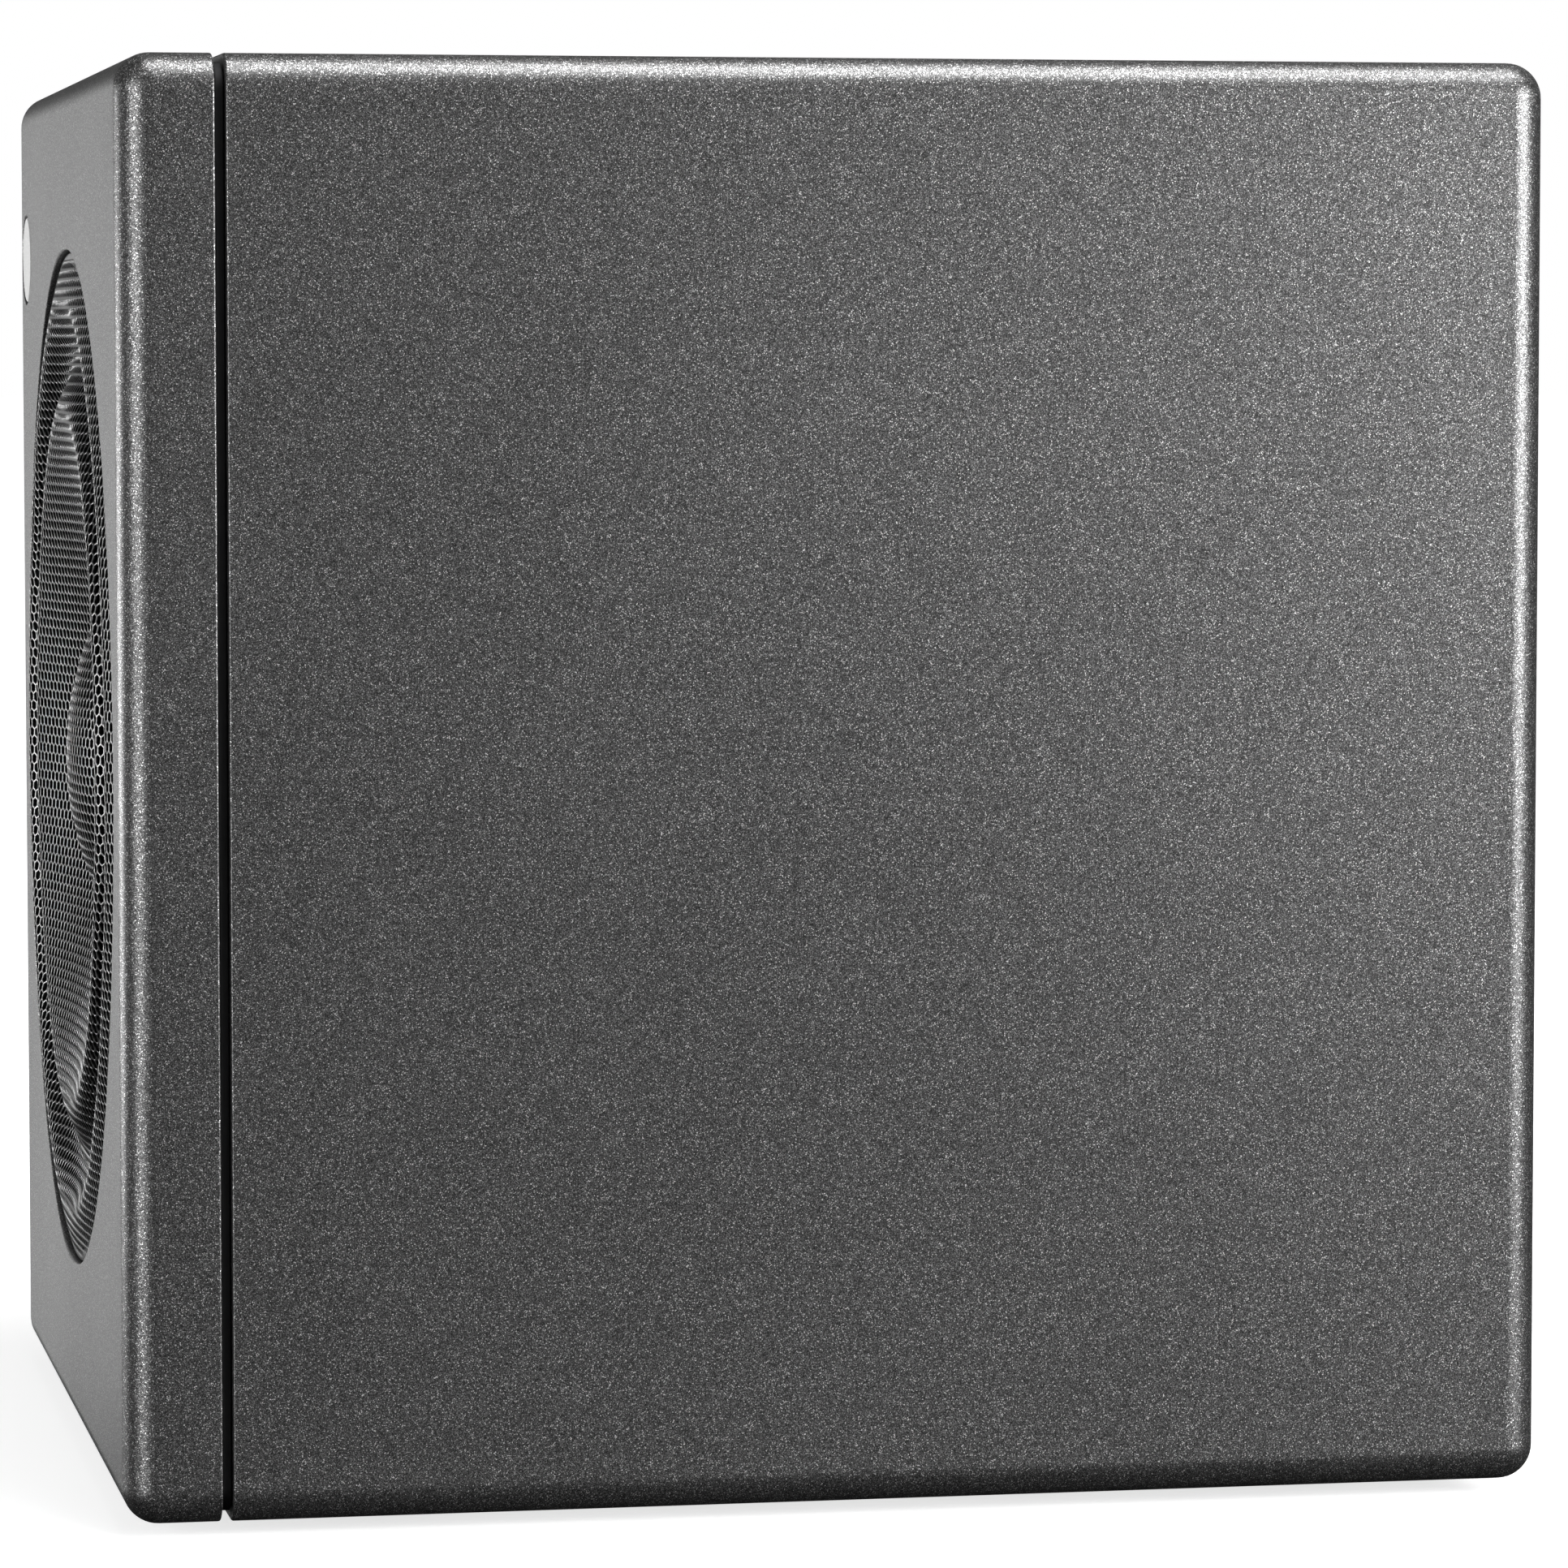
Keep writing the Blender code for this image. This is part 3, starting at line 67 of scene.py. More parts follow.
# ------------------------------------------------------------ measured from the frame
def centre_of(node):
    """The (x, z) of a node's middle."""
    low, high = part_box(node)
    return (low.x + high.x) / 2, (low.z + high.z) / 2


PANEL_LOW, PANEL_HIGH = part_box("front_panel")
SHELL_LOW, SHELL_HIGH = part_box("cabinet_shell")
GRILLE_LOW, GRILLE_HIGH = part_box("grille")
LAMP_LOW, LAMP_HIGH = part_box("status_light_lens")
PLATE_LOW, PLATE_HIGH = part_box("amp_plate")
MIDDLE_Z = (SHELL_LOW.z + SHELL_HIGH.z) / 2
FRONT_Y, PANEL_BACK_Y = PANEL_LOW.y, PANEL_HIGH.y
SHELL_FRONT_Y = SHELL_LOW.y
PLATE_BACK_Y, PLATE_Y = PLATE_LOW.y, PLATE_HIGH.y
DRIVER_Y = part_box("driver_frame")[0].y
FIT_GAP = 0.3 * MM
FIXED_Y = PLATE_Y + FIT_GAP

INPUTS = ("xlr_input_left", "xlr_input_right")
OUTPUTS = ("xlr_output_left", "xlr_output_right")
KNOBS = ("gain_knob", "phase_knob")
SELECTORS = ("ground_switch", "bypass_switch")
SELECTOR_TRAVEL = 4.4 * MM
PLATE_SCREWS = [
    f"amp_plate_screw_{side}_{level}"
    for side in ("left", "right")
    for level in ("bottom", "middle", "top")
]
DRIVER_SCREWS = [f"driver_screw_{number}" for number in (1, 2, 3, 4)]
INLET = centre_of("mains_inlet")[0], centre_of("mains_inlet")[1] - 2 * MM
ROCKER = centre_of("power_switch_frame")
NETWORK = centre_of("network_socket")

# ---------------------------------------------------------------------- chosen sizes
EDGE_RADIUS = 9.5 * MM
SIDE_WALL, FRONT_WALL = 19 * MM, 22 * MM
OPENING_RADIUS = 143 * MM
SEAT_RADIUS, SEAT_DEPTH = 136.5 * MM, 16.3 * MM
FLANGE_HOLE_RADIUS, BASKET_HOLE_RADIUS = 132.5 * MM, 116.5 * MM

CREST_OUTER, CREST_INNER = 129.4 * MM, 98.6 * MM
RIPPLE_DEPTH = 5.4 * MM
RIM_SLOPE, DISH_SLOPE = 0.26, 0.28
ROUNDING = 3 * MM
DOME_RADIUS, DOME_SETBACK = 93 * MM, 1 * MM
DOME_BLEND = 0.8 * MM
HOLE_PITCH = 3.08 * MM
WEB_WIDTH, WEB_FLAT_SHARE, WEB_ROLL = 0.56 * MM, 0.55, 0.1 * MM
SHEET = 0.8 * MM
RIM_OUTER, RIM_INNER = 142.2 * MM, 140.6 * MM


# ------------------------------------------------------------------------- materials
def add_node(tree, kind, links=None, **settings):
    """A shader node, its settings and inputs set by name, and its links made."""
    node = tree.nodes.new(kind)
    for key, value in settings.items():
        if hasattr(node, key):
            setattr(node, key, value)
        else:
            node.inputs[key.replace("_", " ")].default_value = value
    for key, source in (links or {}).items():
        tree.links.new(source, node.inputs[key])
    return node


class Finish:
    """A Principled material that is built up from procedural layers."""

    def __init__(self, name, roughness=0.5, metallic=0.0, **sockets):
        self.material = bpy.data.materials.new(name)
        self.material.use_nodes = True
        self.tree = self.material.node_tree
        self.shader = self.tree.nodes["Principled BSDF"]
        for key, value in dict(sockets, Roughness=roughness, Metallic=metallic).items():
            self.shader.inputs[key.replace("_", " ")].default_value = value
        self.place = add_node(self.tree, "ShaderNodeTexCoord").outputs["Object"]
        self.normal = None

    def noise(self, scale, detail=2.0):
        links = {"Vector": self.place}
        noise = add_node(self.tree, "ShaderNodeTexNoise", links, Scale=scale, Detail=detail)
        return noise.outputs["Fac"]

    def cells(self, scale):
        """A random colour for each small cell."""
        links = {"Vector": self.place}
        return add_node(self.tree, "ShaderNodeTexVoronoi", links, Scale=scale).outputs["Color"]

    def channel(self, colour, name):
        return add_node(self.tree, "ShaderNodeSeparateColor", {"Color": colour}).outputs[name]

    def ramp(self, source, stops):
        ramp = add_node(self.tree, "ShaderNodeValToRGB", {"Fac": source})
        elements = ramp.color_ramp.elements
        while len(elements) < len(stops):
            elements.new(0.5)
        for element, (at, colour) in zip(elements, stops):
            element.position = at
            element.color = (*colour, 1.0)
        return ramp.outputs["Color"]

    def mix(self, first, second, factor=1.0, blend="MIX"):
        """Two colours mixed by a number or by a socket; the second may be a constant."""
        node = add_node(self.tree, "ShaderNodeMix", data_type="RGBA", blend_type=blend)
        share, _, _, _, _, _, a, b = list(node.inputs)[:8]
        for socket, value in ((share, factor), (a, first), (b, second)):
            if isinstance(value, bpy.types.NodeSocket):
                self.tree.links.new(value, socket)
            else:
                socket.default_value = value
        return node.outputs[2]

    def vector(self, operation, first, second=None, **settings):
        links = {0: first}
        if second:
            links[1] = second
        kind = "ShaderNodeVectorMath"
        return add_node(self.tree, kind, links, operation=operation, **settings)

    def colour(self, source):
        self.tree.links.new(source, self.shader.inputs["Base Color"])

    def rough(self, source, low, high):
        spread = {"To_Min": low, "To_Max": high}
        node = add_node(self.tree, "ShaderNodeMapRange", {"Value": source}, **spread)
        self.tree.links.new(node.outputs[0], self.shader.inputs["Roughness"])

    def bump(self, height, strength, distance):
        links = {"Height": height}
        if self.normal:
            links["Normal"] = self.normal
        lift = {"Strength": strength, "Distance": distance}
        self.normal = add_node(self.tree, "ShaderNodeBump", links, **lift).outputs["Normal"]
        self.tree.links.new(self.normal, self.shader.inputs["Normal"])


def grey(value):
    return (value, value, value)


def metallic_paint():
    """Anthracite lacquer: fine metal grain, a few brighter flakes, an uneven coat."""
    finish = Finish("anthracite_lacquer", 0.46, 0.85, Coat_Weight=0.12, Coat_Roughness=0.35)
    grain = finish.cells(5200)
    stops = [(0.0, grey(0.02)), (0.35, grey(0.075)), (0.8, grey(0.18)), (1.0, grey(0.46))]
    base = finish.ramp(finish.channel(grain, "Red"), stops)
    stops = [(0.957, grey(0.0)), (0.964, grey(1.0))]
    flakes = finish.ramp(finish.channel(finish.cells(4500), "Green"), stops)
    finish.colour(finish.mix(base, flakes, blend="ADD"))
    centred = finish.vector("SUBTRACT", grain)
    centred.inputs[1].default_value = grey(0.5)
    tilted = finish.vector("SCALE", centred.outputs[0], Scale=0.12)
    smooth = add_node(finish.tree, "ShaderNodeNewGeometry").outputs["Normal"]
    summed = finish.vector("ADD", tilted.outputs[0], smooth)
    finish.normal = finish.vector("NORMALIZE", summed.outputs[0]).outputs[0]
    finish.bump(finish.noise(1500, 3.0), 0.2, 0.04 * MM)
    finish.rough(finish.noise(9, 3.0), 0.37, 0.44)
    return finish.material


def plain(name, base, roughness, metallic=0.0, grain=900, depth=0.04 * MM):
    """A material with a fine grain: mottled colour, uneven gloss and a light bump."""
    finish = Finish(name, roughness, metallic)
    low = tuple(c * 0.82 for c in base)
    high = tuple(min(1.0, c * 1.18) for c in base)
    finish.colour(finish.ramp(finish.noise(grain * 0.3, 4.0), [(0.3, low), (0.7, high)]))
    finish.rough(finish.noise(grain * 0.08, 3.0), roughness * 0.88, roughness * 1.1)
    finish.bump(finish.noise(grain), 0.4, depth)
    return finish.material


def perforated_coat_painted_shade():
    """Dark satin metal coat, with painted shade: the walls of the holes get a near-black colour.
    """
    finish = Finish("grille_coat_painted_shade", 0.32, 0.9)
    walls = add_node(finish.tree, "ShaderNodeAttribute", attribute_name="hole_wall_painted_shade")
    mottle = finish.ramp(finish.noise(900, 3.0), [(0.3, grey(0.14)), (0.7, grey(0.21))])
    # painted shade: the hole walls take a near-black colour in place of the coat's mottle
    finish.colour(finish.mix(mottle, (*grey(0.003), 1), walls.outputs["Fac"]))
    finish.rough(finish.noise(700, 3.0), 0.28, 0.36)
    finish.bump(finish.noise(2500), 0.4, 0.03 * MM)
    return finish.material


PAINT = metallic_paint()
RUBBER = plain("matt_rubber", (0.012, 0.012, 0.013), 0.75, grain=1200)
GRILLE_COAT_PAINTED_SHADE = perforated_coat_painted_shade()
LENS = plain("opal_lens", (0.82, 0.82, 0.81), 0.25, grain=9000, depth=0.004 * MM)
BLACK_STEEL = plain("black_powder_coat", (0.022, 0.022, 0.024), 0.5, grain=1400)
BLACK_PLASTIC = plain("black_plastic", (0.02, 0.02, 0.021), 0.45, grain=1800)
GREY_PLASTIC = plain("grey_plastic", (0.42, 0.42, 0.42), 0.5, grain=1500)
NICKEL = plain("nickel_plate", (0.62, 0.6, 0.56), 0.25, 1.0, grain=700)
ZINC = plain("zinc_plate", (0.5, 0.5, 0.49), 0.35, 1.0, grain=300)
CAST = plain("cast_aluminium", (0.3, 0.3, 0.31), 0.5, 0.9, grain=1100, depth=0.1 * MM)
COPPER = plain("copper_wire", (0.55, 0.24, 0.1), 0.35, 1.0, grain=1500)
FERRITE = plain("ferrite", (0.045, 0.045, 0.05), 0.6, grain=800)
PULP = plain("paper_pulp", (0.018, 0.018, 0.018), 0.7, grain=700, depth=0.2 * MM)
CLOTH = plain("damper_cloth", (0.35, 0.2, 0.06), 0.85, grain=1600, depth=0.2 * MM)
BOARD = plain("circuit_board", (0.02, 0.1, 0.045), 0.4, grain=500)
FIBRE = plain("fibreboard", (0.36, 0.25, 0.15), 0.85, grain=800, depth=0.2 * MM)
FOAM = plain("damping_foam", (0.06, 0.06, 0.065), 0.95, grain=400, depth=1 * MM)
INK = plain("white_ink", (0.72, 0.72, 0.7), 0.5, depth=0.005 * MM)
GOLD = plain("gold_flash", (0.75, 0.5, 0.18), 0.25, 1.0, depth=0.01 * MM)

SLOT_LOOKS = {
    "anthracite_metallic": PAINT,
    "fibreboard": FIBRE,
    "foam_grey": FOAM,
    "black_rubber": RUBBER,
    "white_lens": LENS,
    "board_green": BOARD,
    "black_metal": BLACK_STEEL,
    "cast_aluminium": CAST,
    "zinc_steel": ZINC,
    "ferrite": FERRITE,
    "paper_black": PULP,
    "copper": COPPER,
    "damper_cloth": CLOTH,
    "nickel": NICKEL,
    "black_plastic": BLACK_PLASTIC,
    "grey_plastic": GREY_PLASTIC,
}
SLOT_OF = {look.name: slot for slot, look in SLOT_LOOKS.items()}
SLOT_OF[GRILLE_COAT_PAINTED_SHADE.name] = "black_metal"
SLOT_OF[INK.name] = "white_lens"
SLOT_OF[GOLD.name] = "nickel"

for part in frame["record"]["subparts"]:
    for slot in frame["nodes"][part["node"]].material_slots:
        slot.material = SLOT_LOOKS[part["material_slot"]]


# -------------------------------------------------------------------- piece building
def piece(name, mesh, material, *nodes, body=BODY, slot=None):
    """A visible piece that stands for CAD nodes. It rides on a body, unless that is None."""
    obj = bpy.data.objects.new(name, mesh)
    bpy.context.scene.collection.objects.link(obj)
    mesh.materials.clear()
    mesh.materials.append(material)
    if body:
        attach(obj, body)
    if nodes:
        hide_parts(*nodes)
    return obj


def mesh_from(name, bm, angle=35):
    mesh = bpy.data.meshes.new(name)
    bmesh.ops.recalc_face_normals(bm, faces=bm.faces)
    bm.to_mesh(mesh)
    bm.free()
    mesh.shade_smooth()
    mesh.set_sharp_from_angle(angle=math.radians(angle))
    return mesh


def solid(name, fill):
    """An object from a fill, which is a function that adds closed shapes to a bmesh."""
    bm = bmesh.new()
    fill(bm)
    bmesh.ops.recalc_face_normals(bm, faces=bm.faces)
    mesh = bpy.data.meshes.new(name)
    bm.to_mesh(mesh)
    bm.free()
    mesh.shade_smooth()
    obj = bpy.data.objects.new(name, mesh)
    bpy.context.scene.collection.objects.link(obj)
    return obj


def baked_mesh(obj):
    """The object's mesh with its modifiers applied; the object is removed."""
    bpy.context.view_layer.update()
    graph = bpy.context.evaluated_depsgraph_get()
    mesh = bpy.data.meshes.new_from_object(obj.evaluated_get(graph))
    bpy.data.objects.remove(obj)
    return mesh


def bevel(obj, width, segments, degrees):
    modifier = obj.modifiers.new("bevel", "BEVEL")
    modifier.width = width
    modifier.segments = segments
    modifier.limit_method = "ANGLE"
    modifier.angle_limit = math.radians(degrees)


def rounded_box(name, low, high, sharp_y):
    """A box with rounded edges and a small chamfer round its face at y = sharp_y."""
    obj = solid(name, lambda bm: add_box(bm, low, high))
    weights = obj.data.attributes.new("bevel_weight_edge", "FLOAT", "EDGE")
    for edge in obj.data.edges:
        ys = [obj.data.vertices[i].co.y for i in edge.vertices]
        sharp = all(abs(y - sharp_y) < 0.1 * MM for y in ys)
        weights.data[edge.index].value = 0.0 if sharp else 1.0
    modifier = obj.modifiers.new("edges", "BEVEL")
    modifier.limit_method = "WEIGHT"
    modifier.width = EDGE_RADIUS
    modifier.segments = 12
    bevel(obj, 0.6 * MM, 3, 60)
    return obj


def finished(block, joins=(), cuts=(), edge=0.4 * MM, segments=3, degrees=40):
    """The mesh of a block joined and cut by fills, with its edges rounded."""
    helpers = []
    for operation, fills in (("UNION", joins), ("DIFFERENCE", cuts)):
        for fill in fills:
            helper = solid("helper", fill)
            modifier = block.modifiers.new("shape", "BOOLEAN")
            modifier.operation = operation
            modifier.object = helper
            modifier.solver = "EXACT"
            helpers.append(helper)
    bevel(block, edge, segments, degrees)
    even = block.modifiers.new("even", "WEIGHTED_NORMAL")
    even.keep_sharp = True
    even.weight = 100
    mesh = baked_mesh(block)
    for helper in helpers:
        bpy.data.objects.remove(helper)
    return mesh


def formed(name, fill, material, *nodes, body=BODY, slot=None, **shaping):
    mesh = finished(solid(name, fill), **shaping)
    return piece(name, mesh, material, *nodes, body=body, slot=slot)


# ---------------------------------------------------------------------------- shapes
def add_box(bm, low, high):
    low, high = Vector(low), Vector(high)
    place = Matrix.Translation((low + high) / 2) @ Matrix.Diagonal((*(high - low), 1))
    return bmesh.ops.create_cube(bm, size=1, matrix=place)["verts"]


def add_cone(bm, place, bottom, top, depth, sides):
    """A cylinder or cone along Y, put in place by a matrix."""
    size = {"radius1": bottom, "radius2": top, "depth": depth, "segments": sides}
    upright = place @ Matrix.Rotation(-math.pi / 2, 4, "X")
    bmesh.ops.create_cone(bm, cap_ends=True, matrix=upright, **size)


def rounded_outline(low, high, corner, steps=6):
    """The (x, z) points of a rectangle with rounded corners."""
    centres = (
        (high[0] - corner, high[1] - corner),
        (low[0] + corner, high[1] - corner),
        (low[0] + corner, low[1] + corner),
        (high[0] - corner, low[1] + corner),
    )
    points = []
    for quarter, (x, z) in enumerate(centres):
        for k in range(steps + 1):
            turn = math.pi / 2 * (quarter + k / steps)
            points.append((x + corner * math.cos(turn), z + corner * math.sin(turn)))
    return points


def add_prism(bm, outline, low, high, axis="Y"):
    """An outline swept along an axis; its points are the other two coordinates."""
    rings = []
    for level in (low, high):
        ring = []
        for point in outline:
            spot = list(point)
            spot.insert("XYZ".index(axis), level)
            ring.append(bm.verts.new(spot))
        rings.append(ring)
    near, far = rings
    bm.faces.new(near)
    bm.faces.new(far[::-1])
    for i in range(len(outline)):
        n = (i + 1) % len(outline)
        bm.faces.new((near[i], far[i], far[n], near[n]))


def together(fills):
    """One fill from several whose shapes stand apart."""

    def fill(bm):
        for one in fills:
            one(bm)

    return fill


def slab_fill(low, high, corner):
    """A slab across Y with rounded corners."""
    outline = rounded_outline((low[0], low[2]), (high[0], high[2]), corner)
    return lambda bm: add_prism(bm, outline, low[1], high[1])


def box_fill(point, box, y_low, y_high, corner=0.0):
    """A block round an (x, z) place, from a box (x0, z0, x1, z1) in millimetres."""
    x0, z0, x1, z1 = box
    low = (point[0] + x0 * MM, y_low, point[1] + z0 * MM)
    high = (point[0] + x1 * MM, y_high, point[1] + z1 * MM)
    if corner:
        return slab_fill(low, high, corner)
    return lambda bm: add_box(bm, low, high)


def rod_fill(places, radius, y_low, y_high, sides=48, top=None):
    """A rod along Y at each (x, z) place; its +Y end may have a radius of its own."""

    def fill(bm):
        for x, z in places:
            place = Matrix.Translation((x, (y_low + y_high) / 2, z))
            add_cone(bm, place, radius, top or radius, y_high - y_low, sides)

    return fill


def turned_mesh(name, profile, sides, x=0.0, z=MIDDLE_Z, angle=35):
    """Turns a closed profile of (radius, y) points round an axis along Y."""
    bm = bmesh.new()
    turns = [2 * math.pi * i / sides for i in range(sides)]
    rings = []
    for radius, y in profile:
        around = turns if radius > 0.001 * MM else [0]
        spots = [(x + radius * math.cos(t), y, z + radius * math.sin(t)) for t in around]
        rings.append([bm.verts.new(spot) for spot in spots])
    for a, b in zip(rings, rings[1:] + rings[:1]):
        for i in range(sides):
            n = (i + 1) % sides
            corners = [a[i % len(a)], a[n % len(a)], b[n % len(b)], b[i % len(b)]]
            unique = list(dict.fromkeys(corners))
            if len(unique) > 2:
                bm.faces.new(unique)
    return mesh_from(name, bm, angle)


def softened(profile, radius):
    """The same closed profile with each corner rounded."""
    points = [Vector(p) for p in profile]
    result = []
    for i, point in enumerate(points):
        before, after = points[i - 1] - point, points[(i + 1) % len(points)] - point
        reach = min(radius, 0.4 * before.length, 0.4 * after.length)
        a, b = point + reach * before.normalized(), point + reach * after.normalized()
        for t in (0, 1 / 3, 2 / 3, 1):
            curve = (1 - t) ** 2 * a + 2 * t * (1 - t) * point + t * t * b
            result.append(tuple(curve))
    return result


def sheet(face, thickness):
    """A closed profile whose front follows face, which runs inwards."""
    points = [Vector(p) for p in face]
    back = []
    for i, point in enumerate(points):
        ahead = points[min(i + 1, len(points) - 1)] - points[max(i - 1, 0)]
        ahead.normalize()
        back.append(point + thickness * Vector((-ahead.y, ahead.x)))
    return [tuple(p) for p in points + back[::-1]]


def tube_mesh(places, radius):
    """A round lead along a smooth curve through the places."""
    curve = bpy.data.curves.new("lead", "CURVE")
    curve.dimensions = "3D"
    curve.bevel_depth = radius
    curve.bevel_resolution = 4
    curve.resolution_u = 10
    curve.use_fill_caps = True
    spline = curve.splines.new("BEZIER")
    spline.bezier_points.add(len(places) - 1)
    for point, place in zip(spline.bezier_points, places):
        point.co = place
        point.handle_left_type = point.handle_right_type = "AUTO"
    holder = bpy.data.objects.new("lead", curve)
    bpy.context.scene.collection.objects.link(holder)
    mesh = baked_mesh(holder)
    mesh.shade_smooth()
    return mesh


# ------------------------------------------------------------------------- enclosure
def lamp_fill(margin, y_low, y_high):
    """The oval of the status light, widened all round by a margin."""
    half_x = (LAMP_HIGH.x - LAMP_LOW.x) / 2 + margin
    half_z = (LAMP_HIGH.z - LAMP_LOW.z) / 2 + margin
    x, z = centre_of("status_light_lens")
    place = Matrix.Translation((x, (y_low + y_high) / 2, z))
    place = place @ Matrix.Diagonal((half_x, 1, half_z, 1))
    return lambda bm: add_cone(bm, place, 1, 1, y_high - y_low, 96)


def make_front_panel():
    middle = [(0, MIDDLE_Z)]
    cuts = [
        rod_fill(middle, OPENING_RADIUS, FRONT_Y - SEAT_DEPTH, FRONT_Y + SEAT_DEPTH, 256),
        rod_fill(middle, SEAT_RADIUS, PANEL_BACK_Y - 30 * MM, PANEL_BACK_Y + 30 * MM, 256),
        lamp_fill(FIT_GAP, FRONT_Y - MM, FRONT_Y + 3.5 * MM),
    ]
    block = rounded_box("front_panel_block", PANEL_LOW, PANEL_HIGH, PANEL_BACK_Y)
    mesh = finished(block, cuts=cuts, edge=0.8 * MM, segments=4, degrees=60)
    piece("front_panel_lacquered", mesh, PAINT, "front_panel")


def make_cabinet():
    middle = [(0, MIDDLE_Z)]
    rebate, throat = 7.5 * MM, 30 * MM
    low = SHELL_LOW + Vector((SIDE_WALL, FRONT_WALL, SIDE_WALL))
    high = SHELL_HIGH + Vector((-SIDE_WALL, SIDE_WALL, -SIDE_WALL))
    cuts = [lambda bm: add_box(bm, low, high)]
    for radius, reach in ((FLANGE_HOLE_RADIUS, rebate), (BASKET_HOLE_RADIUS, throat)):
        span = SHELL_FRONT_Y - reach, SHELL_FRONT_Y + reach
        cuts.append(rod_fill(middle, radius, *span, 128))
    block = rounded_box("shell_block", SHELL_LOW, SHELL_HIGH, SHELL_FRONT_Y)
    mesh = finished(block, cuts=cuts, edge=0.9 * MM, segments=4, degrees=60)
    piece("cabinet_lacquered", mesh, PAINT, "cabinet_shell")


def make_status_light():
    fill = lamp_fill(0, LAMP_LOW.y, LAMP_HIGH.y)
    rim = {"edge": 0.9 * MM, "segments": 4, "degrees": 50}
    formed("status_window", fill, LENS, "status_light_lens", **rim)


def make_feet():
    rubber = [
        (0, 1.3), (5.6, 1.3), (6.1, 0.5), (6.7, 0.1), (7.4, 0), (12.9, 0), (13.6, 0.15),
        (14.1, 0.6), (15.7, 2.9), (16, 3.3), (16, 3.7), (0, 3.7),
    ]
    head = [(0, 0.5), (2.6, 0.55), (3.8, 0.8), (4.2, 1.15), (4.2, 1.4), (0, 1.4)]
    for node in [f"foot_{end}_{side}" for end in ("front", "rear") for side in ("left", "right")]:
        low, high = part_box(node)
        place = Matrix.Translation(((low.x + high.x) / 2, (low.y + high.y) / 2, 0))
        stand = place @ Matrix.Rotation(math.pi / 2, 4, "X")
        for suffix, profile, material, nodes in (
            ("moulded", rubber, RUBBER, [node]),
            ("screw", head, ZINC, []),
        ):
            places = [(r * MM, h * MM) for r, h in profile]
            mesh = turned_mesh(f"{node}_{suffix}", places, 64, z=0.0)
            mesh.transform(stand)
            piece(f"{node}_{suffix}", mesh, material, *nodes)


# ---------------------------------------------------------------------------- grille
def grille_depth(r):
    """How far the pressed sheet lies behind its crests, for an array of radii."""
    rim = RIM_SLOPE * (np.hypot(r - CREST_OUTER, ROUNDING) - ROUNDING)
    wave = (r - CREST_INNER) / (CREST_OUTER - CREST_INNER)
    ripple = RIPPLE_DEPTH / 2 * (1 - np.cos(2 * np.pi * wave))
    dish = DISH_SLOPE * (np.hypot(CREST_INNER - r, ROUNDING) - ROUNDING)
    dome = DOME_SETBACK + r * r / (2 * DOME_RADIUS)
    cup = -DOME_BLEND * np.log(np.exp(-dish / DOME_BLEND) + np.exp(-dome / DOME_BLEND))
    return np.where(r > CREST_OUTER, rim, np.where(r > CREST_INNER, ripple, cup))


def perforated_sheet():
    """Flat (x, z, depth) points, and 18 quads round each hexagonal hole.

    Each side of a hole has a flat web, the web's rolled edge and the hole's wall.
    """
    row_step = HOLE_PITCH * math.sqrt(3) / 2
    reach = int(RIM_OUTER / row_step) + 1
    outer = HOLE_PITCH / math.sqrt(3)
    inner = (HOLE_PITCH - WEB_WIDTH) / math.sqrt(3)
    flat_edge = outer - WEB_FLAT_SHARE * (outer - inner)
    turns = [math.pi / 3 * k for k in range(6)]
    spots, quads, shared = [], [], {}

    def shared_corner(x, z):
        key = (round(x * 1e6), round(z * 1e6))
        if key not in shared:
            shared[key] = len(spots)
            spots.append((x, z, 0.0))
        return shared[key]

    for row in range(-reach, reach + 1):
        offset = HOLE_PITCH / 2 if row % 2 else 0.0
        for column in range(-reach, reach + 1):
            x = column * HOLE_PITCH + offset
            z = row * row_step
            if math.hypot(x, z) > RIM_INNER:
                continue
            rim = [shared_corner(x + outer * math.sin(t), z + outer * math.cos(t)) for t in turns]
            first = len(spots)
            for r, depth in ((flat_edge, 0), (inner, WEB_ROLL), (inner, SHEET)):
                spots += [(x + r * math.sin(t), z + r * math.cos(t), depth) for t in turns]
            for k in range(6):
                n = (k + 1) % 6
                quads.append((rim[k], rim[n], first + n, first + k))
                for start in (first, first + 6):
                    quads.append((start + k, start + n, start + 6 + n, start + 6 + k))
    return np.array(spots), np.array(quads).reshape(-1, 18, 4)


